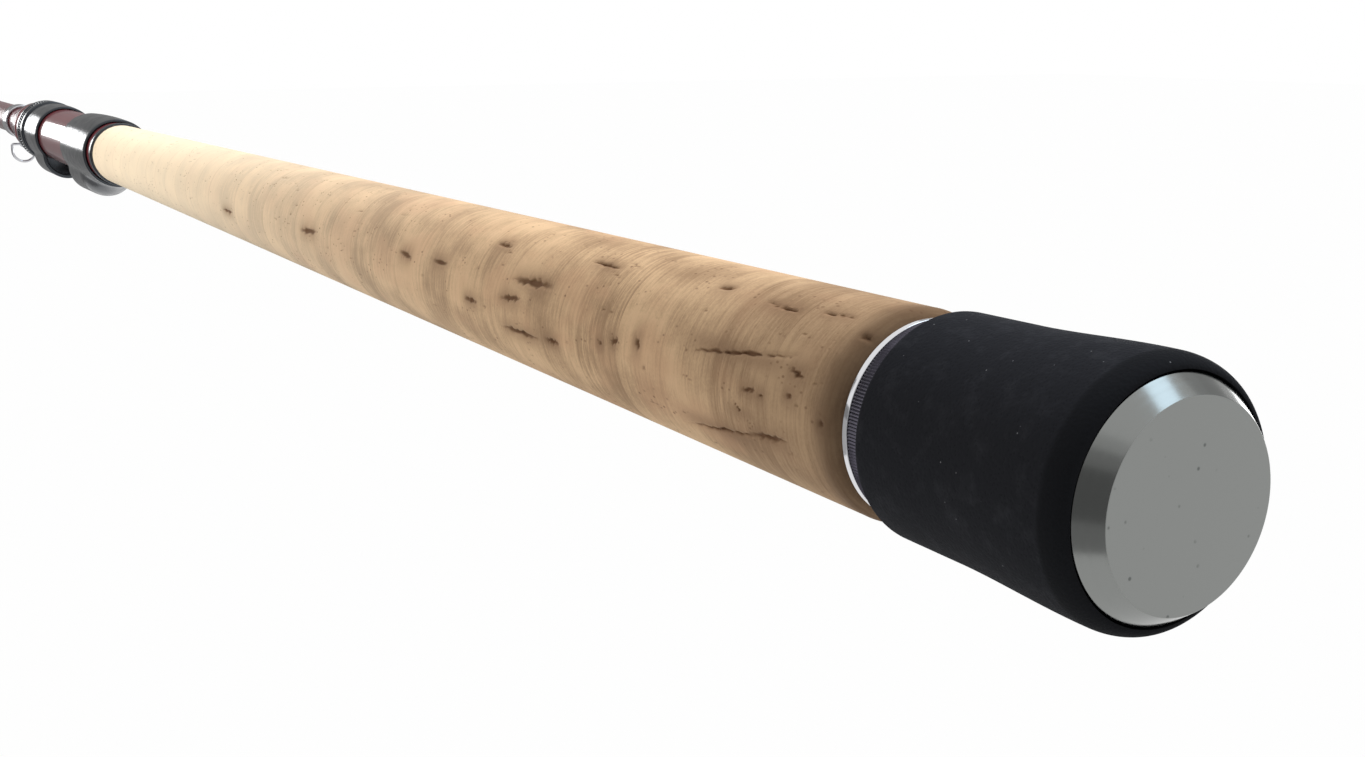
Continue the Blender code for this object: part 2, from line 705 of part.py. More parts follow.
def make_socket_wraps():
    """Reinforcing whippings at the mouths of the sockets."""
    inset = GAP
    make_wrap("mid_socket_wrap", "mid", MID_START + inset, MID_START + inset + SOCKET_WRAP_LENGTH)
    make_wrap("tip_socket_wrap", "tip", TIP_START + inset, TIP_START + inset + SOCKET_WRAP_LENGTH)
    make_wrap(
        "quiver_socket_wrap", "tip", TIP_END - inset - SOCKET_WRAP_LENGTH, TIP_END - inset,
    )


def foot_depth(section, foot_start, foot_end, wire_radius):
    """Depth of a foot wire's centre below the rod's axis."""
    radius = max(blank_radius(section, foot_start), blank_radius(section, foot_end))
    return radius + GAP + wire_radius


def loop_radius_for(opening, thickness, wire_radius):
    """Radius of the wire's centre line round a ring."""
    return (opening + 2 * thickness) / math.cos(math.pi / RING_SEGMENTS) + GAP + wire_radius


def frame_wire(name, x_origin, centre_drop, loop_radius, wire_radius, foot, direction):
    """A guide's frame: one wire from the foot, round under the ring and back to the foot.

    The foot is (depth below the axis, near distance, far distance) from the ring, and direction
    is 1 where it points to the butt and -1 where it points to the tip. Each leg leaves the loop
    along its tangent, so it stays clear of the ring.
    """
    depth, near, far = foot
    spread = wire_radius + GAP / 2
    height = centre_drop - depth
    reach = math.hypot(spread, height)
    leave = math.atan2(height, spread) - math.acos(loop_radius / reach)
    leg = [
        (direction * far, spread, -depth),
        (direction * near, spread, -depth),
    ]
    arc = []
    for step in range(LOOP_STEPS + 1):
        angle = leave - (math.pi + 2 * leave) * step / LOOP_STEPS
        across = loop_radius * math.cos(angle)
        arc.append((0.0, across, -centre_drop + loop_radius * math.sin(angle)))
    back = [(x, -y, z) for x, y, z in reversed(leg)]
    frame = wire(name, leg + arc + back, wire_radius)
    frame.location = (x_origin, 0.0, 0.0)
    link(frame, "guide_steel")


def make_guide(guide):
    """One guide: ceramic ring, wire frame and the whippings over its feet."""
    name, section, wire_radius = guide.name, guide.section, guide.wire_radius
    station = VISIBLE_ENDS[section] - guide.setback
    foot_length = max(FOOT_LENGTH_FACTOR * wire_radius, FOOT_MIN_LENGTH)
    loop_radius = loop_radius_for(guide.opening, guide.thickness, wire_radius)
    drop = loop_radius + guide.stand_off
    feet = [("frame", 1, LEG_LEAN * drop, 0.0)]
    if guide.braced:
        feet.append(("brace", -1, BRACE_LEAN * drop, 2 * wire_radius + GAP))
    first = station - LEG_LEAN * drop - foot_length
    centre_drop = foot_depth(section, first, station, wire_radius) + drop
    link(
        ring(f"{name}_ring", station, -centre_drop, guide.opening, guide.thickness),
        "guide_ceramic",
    )
    for part, direction, near, offset in feet:
        base = station + offset
        start, end = sorted((base - direction * near, base - direction * (near + foot_length)))
        foot = (foot_depth(section, start, end, wire_radius), near, near + foot_length)
        frame_wire(f"{name}_{part}", x_at(base), centre_drop, loop_radius, wire_radius, foot,
                   direction)
        if section == "quiver":
            continue
        slot = (2 * wire_radius + 2 * GAP, 2 * wire_radius + GAP)
        inset = 2 * wire_radius
        make_wrap(f"{name}_{part}_wrap", section, start + inset, end - inset, slot)


def make_top_guide():
    """The tip ring at the end of the quiver tip, held by a short tube."""
    tube_start = QUIVER_END - TOP_TUBE_LENGTH
    tube_bore = blank_radius("quiver", tube_start) + GAP
    tube_outer = tube_bore + WRAP_WALL
    tube = sleeve(
        "tip_top_tube", tube_start, QUIVER_END - GAP, tube_outer, tube_bore, TRIM_SEGMENTS,
    )
    link(tube, "guide_steel")
    station = QUIVER_END + TOP_OVERHANG
    loop_radius = loop_radius_for(TOP_RING_RADIUS, TOP_RING_THICKNESS, TOP_WIRE_RADIUS)
    depth = tube_outer + GAP + TOP_WIRE_RADIUS
    centre_drop = depth + loop_radius + TOP_STAND_OFF
    link(
        ring("tip_top_ring", station, -centre_drop, TOP_RING_RADIUS, TOP_RING_THICKNESS),
        "guide_ceramic",
    )
    foot = (depth, TOP_OVERHANG, TOP_OVERHANG + TOP_TUBE_LENGTH)
    frame_wire("tip_top_frame", x_at(station), centre_drop, loop_radius, TOP_WIRE_RADIUS, foot, 1)


def make_hook_keeper():
    """Hook keeper: a band with an ear on the blank, and a loop that swings in the ear."""
    start = KEEPER_STATION - KEEPER_BAND_LENGTH / 2
    end = KEEPER_STATION + KEEPER_BAND_LENGTH / 2
    bore = blank_radius("butt", start) + GAP
    band_radius = bore + KEEPER_BAND_WALL
    band = cone("keeper_band", start, end, band_radius, band_radius, 0.0, TRIM_SEGMENTS)
    ear_top = bore
    ear_bottom = band_radius + KEEPER_EAR_HEIGHT
    ear = block(
        "keeper_ear",
        (x_at(KEEPER_STATION), 0.0, -(ear_top + ear_bottom) / 2),
        (KEEPER_EAR_WIDTH, KEEPER_EAR_WIDTH, ear_bottom - ear_top),
    )
    boolean(band, ear, "UNION")
    bore_cutter = cone(
        "keeper_bore", start - RUN_OUT, end + RUN_OUT, bore, bore, 0.0, TRIM_SEGMENTS,
    )
    boolean(band, bore_cutter, "DIFFERENCE")
    hinge_height = ear_bottom - KEEPER_HOLE_RADIUS - KEEPER_EAR_EDGE
    hole = cone(
        "keeper_hole", KEEPER_STATION - KEEPER_EAR_WIDTH, KEEPER_STATION + KEEPER_EAR_WIDTH,
        KEEPER_HOLE_RADIUS, KEEPER_HOLE_RADIUS, hinge_height, KEEPER_HOLE_SEGMENTS,
    )
    hole.rotation_euler = (math.pi / 2, 0.0, 0.0)
    boolean(band, hole, "DIFFERENCE")
    link(band, "guide_steel")

    radius = KEEPER_LOOP_RADIUS
    points = [(0.0, radius, 0.0), (0.0, -radius, 0.0)]
    for step in range(KEEPER_STEPS + 1):
        angle = math.pi * step / KEEPER_STEPS
        across = -radius * math.cos(angle)
        points.append((0.0, across, -KEEPER_LOOP_SIDE - radius * math.sin(angle)))
    loop = wire("keeper_loop", points, KEEPER_WIRE_RADIUS, cyclic=True)
    loop.location = Vector((x_at(KEEPER_STATION), 0.0, -hinge_height))
    link(loop, "guide_steel")


def build():
    """Make every piece of the rod, from the butt to the tip."""
    make_butt_cap()
    make_butt_plug()
    make_butt_grip()
    make_trim_rings()
    make_cork_grip()
    make_rear_check()
    make_barrel()
    make_hood("fixed_hood", FIXED_HOOD_START, FIXED_HOOD_MOUTH, "gunmetal")
    make_hood("moving_hood", MOVING_HOOD_END, MOVING_HOOD_MOUTH, "gunmetal")
    make_lock_nut()
    make_arbors()
    make_fore_check()
    make_hook_keeper()
    make_blanks()
    make_socket_wraps()
    for guide in GUIDES:
        make_guide(guide)
    make_top_guide()


clear_scene()
PARTS = new_collection("feeder_rod")
CUTTERS = new_collection("cutters")
build()
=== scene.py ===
"""Looks of the feeder rod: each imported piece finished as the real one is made.

The rod lies along the X axis with its butt towards +X, and the reel and the guides hang below it.
A station is a distance from the butt cap's face towards the tip. An angle round the rod is 0 at
the top and grows towards -Y, the side that the camera looks at.
"""
import logging
import math
from dataclasses import dataclass, field
from enum import Enum
from typing import Any, Callable, Sequence

import bmesh
import bpy
import numpy as np
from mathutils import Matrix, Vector


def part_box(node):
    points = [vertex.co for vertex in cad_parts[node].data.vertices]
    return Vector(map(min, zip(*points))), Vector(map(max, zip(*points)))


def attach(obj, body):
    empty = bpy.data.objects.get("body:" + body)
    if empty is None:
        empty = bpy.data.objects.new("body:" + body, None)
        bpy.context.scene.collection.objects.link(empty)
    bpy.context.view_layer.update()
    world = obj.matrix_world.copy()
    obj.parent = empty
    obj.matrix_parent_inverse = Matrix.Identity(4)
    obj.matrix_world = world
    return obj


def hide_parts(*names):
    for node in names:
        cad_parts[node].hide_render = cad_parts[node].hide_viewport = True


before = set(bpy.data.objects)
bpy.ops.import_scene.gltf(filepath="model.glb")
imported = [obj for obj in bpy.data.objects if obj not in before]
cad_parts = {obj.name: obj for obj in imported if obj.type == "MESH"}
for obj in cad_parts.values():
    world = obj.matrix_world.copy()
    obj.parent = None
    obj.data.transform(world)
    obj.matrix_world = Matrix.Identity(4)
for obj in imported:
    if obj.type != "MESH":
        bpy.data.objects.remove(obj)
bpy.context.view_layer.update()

MM = 0.001
LOG = logging.getLogger("feeder_rod")
SAME_PLACE = 0.001 * MM
SAME_PLACE_AFTER_CUT = 0.004 * MM
CRISP_ANGLE = math.radians(42)
SHARP_BEND = math.radians(20)
BEND_STEPS = 7
BEND_SHARE = 0.45
WIRE_STEPS = 4

# A Mix node has sockets for every kind of value. These are the numbers of its factor and its two
# colours, and the settings that make it mix colours.
SHARE, FIRST, SECOND = 0, 6, 7
OF_COLOURS: dict[str, Any] = {"output": 2, "data_type": "RGBA"}
SOFTLY: dict[str, Any] = {"interpolation_type": "SMOOTHSTEP"}

Piece = bpy.types.Object
Mesh = bpy.types.Mesh
Tree = bpy.types.NodeTree
Socket = bpy.types.NodeSocket
Array = np.ndarray
Profile = list[tuple[float, float]]
Corner = tuple[float, float, float]
Reshape = Callable[[Array, Array, Array], Array]


class Body(Enum):
    """The rod's moving bodies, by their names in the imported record."""

    BUTT = "butt_section"
    HOOD = "hood"
    NUT = "nut"
    KEEPER = "keeper"
    MID = "mid_section"
    TIP = "tip_section"
    QUIVER = "quiver"


class Step(Enum):
    """How many points a rounded corner takes."""

    SMALL = 3
    FINE = 6


class Cut(Enum):
    """What a piece does to the one that it is combined with."""

    JOIN = "UNION"
    AWAY = "DIFFERENCE"


def linear(colour: str) -> tuple[float, float, float, float]:
    """Turn an sRGB colour into the linear one that a shader takes.

    Args:
        colour: Six hex digits after a #.

    Returns:
        Linear red, green, blue and an alpha of 1.
    """
    values = []
    for start in (1, 3, 5):
        value = int(colour[start:start + 2], 16) / 255
        values.append(value / 12.92 if value <= 0.04045 else ((value + 0.055) / 1.055) ** 2.4)
    return values[0], values[1], values[2], 1.0


WHITE = linear("#ffffff")


def add_node(
    tree: Tree,
    kind: str,
    inputs: dict[int | str, Any] | None = None,
    output: int | str = 0,
    **settings: Any,
) -> Socket:
    """Add a node with its settings and links.

    Args:
        tree: Node tree that gets the node.
        kind: Blender's name of the shader node's type, without its ShaderNode.
        inputs: Value, or socket to link from, for each input by index or name.
        output: Output to return, by index or name.
        settings: Attributes to set on the node.

    Returns:
        The chosen output socket.
    """
    node = tree.nodes.new(f"ShaderNode{kind}")
    for name, value in settings.items():
        setattr(node, name, value)
    for name, value in (inputs or {}).items():
        if isinstance(value, Socket):
            tree.links.new(value, node.inputs[name])
        else:
            node.inputs[name].default_value = value
    return node.outputs[output]


def scaled_place(tree: Tree, along_mm: float, across_mm: float | None = None) -> Socket:
    """Place on the rod, counted in pattern cells of a real size.

    Args:
        tree: Node tree of the material.
        along_mm: Length of one cell along the rod, in millimetres.
        across_mm: Its size across the rod, where that differs.

    Returns:
        Socket with the scaled place.
    """
    place = add_node(tree, "TexCoord", output="Object")
    sizes = (along_mm, across_mm or along_mm, across_mm or along_mm)
    scale = tuple(1 / (size * MM) for size in sizes)
    return add_node(tree, "Mapping", {"Vector": place, "Scale": scale})


def axes(tree: Tree) -> list[Socket]:
    """Sockets with the x, y and z of a place on the rod."""
    place = add_node(tree, "TexCoord", output="Object")
    return list(add_node(tree, "SeparateXYZ", {0: place}).node.outputs)


@dataclass(frozen=True)
class Finish:
    """A surface finish with uniform values on the shader's own sockets."""

    name: str
    colour: str
    roughness: float
    metallic: float = 0.0
    ior: float = 1.5
    specular: float = 0.5
    coat: float = 0.0
    coat_roughness: float = 0.04
    anisotropy: float = 0.0

    def paint(self, tree: Tree) -> dict[str, Socket]:
        """Add the finish's pattern; a plain finish has none.

        Args:
            tree: Node tree of the material.

        Returns:
            The pattern's sockets, by the shader inputs that they feed.
        """
        return {}

    def material(self) -> bpy.types.Material:
        """Build the material, or return the one made before.

        Returns:
            The Blender material of this finish.
        """
        found = bpy.data.materials.get(self.name)
        if found:
            return found
        material = bpy.data.materials.new(self.name)
        material.use_nodes = True
        tree = material.node_tree
        shader = tree.nodes["Principled BSDF"]
        values = {
            "Base Color": linear(self.colour),
            "Roughness": self.roughness,
            "Metallic": self.metallic,
            "Specular IOR Level": self.specular,
            "Coat Weight": self.coat,
            "Coat Roughness": self.coat_roughness,
            "Anisotropic": self.anisotropy,
        }
        if not self.metallic:
            values["IOR"] = self.ior
        for name, value in values.items():
            shader.inputs[name].default_value = value
        for name, socket in self.paint(tree).items():
            tree.links.new(socket, shader.inputs[name])
        return material


@dataclass(frozen=True)
class BlastedAluminium(Finish):
    """Anodised aluminium, faced and bead blasted: an even grey satin with the odd dark speck."""

    # Real bead marks are about 0.05 mm, too fine to show, so they are drawn coarser.
    grit_mm: float = 0.16
    grit_depth_mm: float = 0.02
    cloud_mm: float = 5.0
    speck_mm: float = 1.9
    speck_colour: str = "#5d605e"

    def paint(self, tree: Tree) -> dict[str, Socket]:
        """Add the blasted grit as a fine bump, faint clouding and sparse specks.

        Args:
            tree: Node tree of the material.

        Returns:
            The pattern's sockets, by the shader inputs that they feed.
        """
        grit = add_node(tree, "TexNoise", {
            "Vector": scaled_place(tree, self.grit_mm), "Scale": 1.0, "Detail": 2.0,
        })
        cell = add_node(tree, "TexVoronoi", {
            "Vector": scaled_place(tree, self.speck_mm), "Scale": 1.0,
        }, "Distance")
        speck = add_node(tree, "MapRange", {
            "Value": cell, "From Min": 0.06, "From Max": 0.14, "To Min": 0.85, "To Max": 0.0,
        }, **SOFTLY)
        clouds = add_node(tree, "TexNoise", {
            "Vector": scaled_place(tree, self.cloud_mm), "Scale": 1.0, "Detail": 3.0,
        })
        keep = add_node(tree, "MapRange", {
            "Value": clouds, "From Min": 0.44, "From Max": 0.52,
        }, **SOFTLY)
        share = add_node(tree, "Math", {0: speck, 1: keep}, operation="MULTIPLY")
        colour = add_node(tree, "Mix", {
            SHARE: share, FIRST: linear(self.colour), SECOND: linear(self.speck_colour),
        }, **OF_COLOURS)
        bump = add_node(tree, "Bump", {
            "Strength": 0.22, "Distance": self.grit_depth_mm * MM, "Height": grit,
        })
        return {"Base Color": colour, "Normal": bump}


@dataclass(frozen=True)
class TurnedMetal(Finish):
    """Metal cut on a lathe: fine rings that pull each reflection out across the cut."""

    # A real cut's rings are about half as wide, too fine to show, so they are drawn coarser.
    groove_mm: float = 0.12
    groove_depth_mm: float = 0.004

    def paint(self, tree: Tree) -> dict[str, Socket]:
        """Add the lathe's rings, and pull the reflections out across them.

        Args:
            tree: Node tree of the material.

        Returns:
            The pattern's sockets, by the shader inputs that they feed.
        """
        x, y, z = axes(tree)
        flat = add_node(tree, "CombineXYZ", {1: y, 2: z})
        radius = add_node(tree, "VectorMath", {0: flat}, "Value", operation="LENGTH")
        across = add_node(tree, "Math", {0: radius, 1: x}, operation="ADD")
        count = add_node(tree, "Math", {0: across, 1: self.groove_mm * MM}, operation="DIVIDE")
        rings = add_node(tree, "TexNoise", {
            "W": count, "Scale": 1.0, "Detail": 3.0,
        }, noise_dimensions="1D")
        bump = add_node(tree, "Bump", {
            "Strength": 0.5, "Distance": self.groove_depth_mm * MM, "Height": rings,
        })
        rough = add_node(tree, "MapRange", {
            "Value": rings, "To Min": self.roughness * 0.7, "To Max": self.roughness * 1.3,
        })
        tangent = add_node(tree, "Tangent", direction_type="RADIAL", axis="X")
        return {"Roughness": rough, "Normal": bump, "Tangent": tangent}


@dataclass(frozen=True)
class EvaFoam(Finish):
    """Closed-cell EVA foam, sanded: matt black, with pores and a little pale dust in them."""

    # Real pores are 0.1 to 0.3 mm, too fine to show, so they are drawn coarser.
    pore_mm: float = 0.42
    pore_depth_mm: float = 0.09
    dust_mm: float = 3.4
    lint_mm: float = 2.3
    dust_colour: str = "#3f4045"
    pore_colour: str = "#101114"
    # Colour of the painted shade on the foam's rounded end by the cap.
    painted_end_shade_colour: str = "#17181b"
    lint_colour: str = "#77787c"

    def paint(self, tree: Tree) -> dict[str, Socket]:
        """Add pores, sanding dust, the soft grain that scatters the light and painted shade on the
        rounded end.

        Args:
            tree: Node tree of the material.

        Returns:
            The pattern's sockets, by the shader inputs that they feed.
        """
        pores = add_node(tree, "TexVoronoi", {
            "Vector": scaled_place(tree, self.pore_mm), "Scale": 1.0,
        }, "Distance")
        grain = add_node(tree, "TexNoise", {
            "Vector": scaled_place(tree, self.pore_mm * 0.6), "Scale": 1.0, "Detail": 3.0,
        })
        clouds = add_node(tree, "TexNoise", {
            "Vector": scaled_place(tree, self.dust_mm), "Scale": 1.0, "Detail": 4.0,
            "Roughness": 0.7,
        })
        dusty = add_node(tree, "MapRange", {
            "Value": clouds, "From Min": 0.5, "From Max": 0.8, "To Max": 0.3,
        })
        dusted = add_node(tree, "Mix", {
            SHARE: dusty, FIRST: linear(self.colour), SECOND: linear(self.dust_colour),
        }, **OF_COLOURS)
        pitted = add_node(tree, "MapRange", {
            "Value": pores, "From Min": 0.05, "From Max": 0.3, "To Min": 0.6, "To Max": 0.0,
        })
        porous = add_node(tree, "Mix", {
            SHARE: pitted, FIRST: dusted, SECOND: linear(self.pore_colour),
        }, **OF_COLOURS)
        # Painted shade darkens the rounded end by the cap.
        painted_end_shade = add_node(tree, "Attribute", output="Fac", attribute_name="painted_end_shade")
        rounded = add_node(tree, "Mix", {
            SHARE: painted_end_shade, FIRST: porous, SECOND: linear(self.painted_end_shade_colour),
        }, **OF_COLOURS)
        lint_cells = add_node(tree, "TexVoronoi", {
            "Vector": scaled_place(tree, self.lint_mm), "Scale": 1.0,
        }, "Distance")
        lint = add_node(tree, "MapRange", {
            "Value": lint_cells, "From Min": 0.02, "From Max": 0.05, "To Min": 0.8, "To Max": 0.0,
        }, **SOFTLY)
        colour = add_node(tree, "Mix", {
            SHARE: lint, FIRST: rounded, SECOND: linear(self.lint_colour),
        }, **OF_COLOURS)
        height = add_node(tree, "Math", {0: grain, 1: 0.5, 2: pores}, operation="MULTIPLY_ADD")
        bump = add_node(tree, "Bump", {
            "Strength": 0.45, "Distance": self.pore_depth_mm * MM, "Height": height,
        })
        return {"Base Color": colour, "Normal": bump}


@dataclass(frozen=True)
class Cork(Finish):
    """Natural cork discs, glued and sanded: tan, with grain, dark lenticels and filled cracks."""

    light_colour: str = "#d2b28e"
    dark_colour: str = "#9b7f63"
    # The pale colour is painted light that brightens the grip towards the seat.
    painted_light_colour: str = "#e6d9c2"
    pink_colour: str = "#c29c7c"
    flaw_colour: str = "#60432d"
    speck_colour: str = "#7c604a"
    # The stain colour is grime and painted shade on the shoulder next to the ring.
    stain_and_shade_colour: str = "#54402f"
    # The soil colour is hand soil and painted shade that darken the grip towards the butt.
    soil_and_shade_colour: str = "#6d553f"
    painted_light_from_mm: float = 60.0
    painted_light_length_mm: float = 330.0
    painted_light_share: float = 0.78
    soil_and_shade_mm: float = 42.0
    soil_and_shade_share: float = 0.48
    disc_mm: float = 12.6
    glue_mm: float = 0.7
    first_disc_m: float = 0.52
    band_mm: float = 0.55
    band_length_mm: float = 7.5
    grain_mm: tuple[float, float] = (0.3, 0.4)
    grain_depth_mm: float = 0.08
    tint_mm: tuple[float, float] = (13.0, 8.0)
    cluster_mm: tuple[float, float] = (6.0, 3.5)
    blotch_mm: float = 9.0
    speck_mm: float = 0.9
    stain_and_shade_mm: float = 4.6

    def paint(self, tree: Tree) -> dict[str, Socket]:
        """Add the discs' own tones, growth bands, specks, flaws and the shoulder by the ring,
        darkened with grime and painted shade.

        Args:
            tree: Node tree of the material.

        Returns:
            The pattern's sockets, by the shader inputs that they feed.
        """
        along, _, _ = axes(tree)
        behind = add_node(tree, "Math", {0: self.first_disc_m, 1: along}, operation="SUBTRACT")
        discs = add_node(tree, "Math", {0: behind, 1: self.disc_mm * MM}, operation="DIVIDE")
        number = add_node(tree, "Math", {0: discs}, operation="FLOOR")
        tone = add_node(tree, "TexWhiteNoise", {"W": number}, noise_dimensions="1D")
        shifted = add_node(tree, "VectorMath", {
            0: (0.0, 1.0, 1.0), "Scale": number,
        }, operation="SCALE")
        bands_place = add_node(tree, "VectorMath", {
            0: scaled_place(tree, self.band_mm, self.band_length_mm), 1: shifted,
        }, operation="ADD")
        bands = add_node(tree, "TexNoise", {
            "Vector": bands_place, "Scale": 1.0, "Detail": 4.0, "Roughness": 0.66,
            "Distortion": 0.4,
        })
        blotches = add_node(tree, "TexNoise", {
            "Vector": scaled_place(tree, self.blotch_mm * 1.6, self.blotch_mm),
            "Scale": 1.0, "Detail": 3.0,
        })
        grain = add_node(tree, "TexNoise", {
            "Vector": scaled_place(tree, *self.grain_mm), "Scale": 1.0, "Detail": 3.0,
        })
        streaked = add_node(tree, "MapRange", {"Value": tone, "To Min": 1.0, "To Max": 0.5})
        mixed = add_node(tree, "Math", {
            0: add_node(tree, "Math", {0: bands, 1: 0.5}, operation="SUBTRACT"),
            1: streaked, 2: blotches,
        }, operation="MULTIPLY_ADD")
        gritty = add_node(tree, "Math", {0: grain, 1: 0.3, 2: mixed}, operation="MULTIPLY_ADD")
        toned = add_node(tree, "Math", {0: tone, 1: 0.18, 2: gritty}, operation="MULTIPLY_ADD")
        share = add_node(tree, "MapRange", {
            "Value": toned, "From Min": 0.44, "From Max": 1.02,
        }, **SOFTLY)
        base = add_node(tree, "Mix", {
            SHARE: share, FIRST: linear(self.dark_colour), SECOND: linear(self.light_colour),
        }, **OF_COLOURS)
        halo = add_node(tree, "Attribute", output="Fac", attribute_name="halo")
        glue = add_node(tree, "MapRange", {
            "Value": add_node(tree, "Math", {0: discs}, operation="FRACT"),
            "From Max": self.glue_mm / self.disc_mm, "To Min": 0.75, "To Max": 0.0,
        }, **SOFTLY)
        line = add_node(tree, "Math", {0: glue, 1: blotches}, operation="MULTIPLY")
        brown = add_node(tree, "Math", {0: halo, 1: line}, operation="MAXIMUM")
        browned = add_node(tree, "Math", {0: brown, 1: bands}, operation="MULTIPLY")
        specked = add_node(tree, "Mix", {
            SHARE: browned, FIRST: self.specks(tree, self.tinted_lit_and_soiled(tree, behind, base)),
            SECOND: linear(self.speck_colour),
        }, **OF_COLOURS)
        flaw = add_node(tree, "Attribute", output="Fac", attribute_name="flaw")
        ragged = add_node(tree, "MapRange", {
            "Value": flaw, "From Min": 0.06, "From Max": 0.7, "To Max": 0.9,
        }, **SOFTLY)
        flawed = add_node(tree, "Mix", {
            SHARE: ragged, FIRST: specked, SECOND: linear(self.flaw_colour),
        }, **OF_COLOURS)
        # Grime and painted shade: the shoulder darkens where it curves down beside the ring.
        stain_and_shade = add_node(tree, "MapRange", {
            "Value": behind, "From Max": self.stain_and_shade_mm * MM, "To Min": 0.66, "To Max": 0.0,
        }, **SOFTLY)
        colour = add_node(tree, "Mix", {
            SHARE: stain_and_shade, FIRST: flawed, SECOND: linear(self.stain_and_shade_colour),
        }, **OF_COLOURS)
        height = add_node(tree, "Math", {0: bands, 1: 0.6, 2: grain}, operation="MULTIPLY_ADD")
        bump = add_node(tree, "Bump", {
            "Strength": 0.35, "Distance": self.grain_depth_mm * MM, "Height": height,
        })
        rough = add_node(tree, "MapRange", {
            "Value": grain, "To Min": self.roughness - 0.1, "To Max": self.roughness + 0.1,
        })
        return {"Base Color": colour, "Roughness": rough, "Normal": bump}

    def tinted_lit_and_soiled(self, tree: Tree, behind: Socket, base: Socket) -> Socket:
        """Tint the discs, make them paler towards the seat with painted light, and darken them
        towards the butt with hand soil and painted shade.

        Args:
            tree: Node tree of the material.
            behind: Socket with the distance from the grip's butt end.
            base: Socket with the cork's colour so far.

        Returns:
            Socket with the tinted colour.
        """
        tint = add_node(tree, "TexNoise", {
            "Vector": scaled_place(tree, *self.tint_mm), "Scale": 1.0, "Detail": 2.0,
        })
        pink = add_node(tree, "MapRange", {
            "Value": tint, "From Min": 0.48, "From Max": 0.68, "To Max": 0.45,
        }, **SOFTLY)
        colour = base
        for share, shade in (
            (pink, self.pink_colour),
            # Painted light: paler towards the seat.
            (add_node(tree, "MapRange", {
                "Value": behind, "From Min": self.painted_light_from_mm * MM,
                "From Max": (self.painted_light_from_mm + self.painted_light_length_mm) * MM,
                "To Max": self.painted_light_share,
            }, **SOFTLY), self.painted_light_colour),
            # Hand soil and painted shade: darker towards the butt.
            (add_node(tree, "MapRange", {
                "Value": behind, "From Max": self.soil_and_shade_mm * MM,
                "To Min": self.soil_and_shade_share, "To Max": 0.0,
            }, **SOFTLY), self.soil_and_shade_colour),
        ):
            colour = add_node(tree, "Mix", {
                SHARE: share, FIRST: colour, SECOND: linear(shade),
            }, **OF_COLOURS)
        return colour

    def specks(self, tree: Tree, base: Socket) -> Socket:
        """Lay small dark lenticels over the base, in loose clusters.

        Args:
            tree: Node tree of the material.
            base: Socket with the cork's colour so far.

        Returns:
            Socket with the specked colour.
        """
        cells = add_node(tree, "TexVoronoi", {
            "Vector": scaled_place(tree, self.speck_mm * 1.7, self.speck_mm), "Scale": 1.0,
        }, "Distance")
        dots = add_node(tree, "MapRange", {
            "Value": cells, "From Min": 0.1, "From Max": 0.28, "To Min": 1.0, "To Max": 0.0,
        }, **SOFTLY)
        clusters = add_node(tree, "TexNoise", {
            "Vector": scaled_place(tree, *self.cluster_mm), "Scale": 1.0, "Detail": 2.0,
        })
        where = add_node(tree, "MapRange", {
            "Value": clusters, "From Min": 0.5, "From Max": 0.66, "To Max": 0.8,
        }, **SOFTLY)
        share = add_node(tree, "Math", {0: dots, 1: where}, operation="MULTIPLY")
        return add_node(tree, "Mix", {
            SHARE: share, FIRST: base, SECOND: linear(self.speck_colour),
        }, **OF_COLOURS)


@dataclass(frozen=True)
class MottledMetal(Finish):
    """Plated or drawn metal: its polish varies a little from handling."""

    mottle_mm: float = 2.5
    scratch_mm: float = 0.25
    scratch_length_mm: float = 4.0
    scratch_depth_mm: float = 0.01

    def paint(self, tree: Tree) -> dict[str, Socket]:
        """Add uneven polish and hair scratches.

        Args:
            tree: Node tree of the material.

        Returns:
            The pattern's sockets, by the shader inputs that they feed.
        """
        smears = add_node(tree, "TexNoise", {
            "Vector": scaled_place(tree, self.mottle_mm), "Scale": 1.0, "Detail": 4.0,
        })
        scratches = add_node(tree, "TexNoise", {
            "Vector": scaled_place(tree, self.scratch_mm, self.scratch_length_mm),
            "Scale": 1.0, "Detail": 2.0,
        })
        rough = add_node(tree, "MapRange", {
            "Value": smears, "From Min": 0.3, "From Max": 0.7,
            "To Min": self.roughness * 0.75, "To Max": self.roughness * 1.35,
        })
        bump = add_node(tree, "Bump", {
            "Strength": 0.12, "Distance": self.scratch_depth_mm * MM, "Height": scratches,
        })
        return {"Roughness": rough, "Normal": bump}


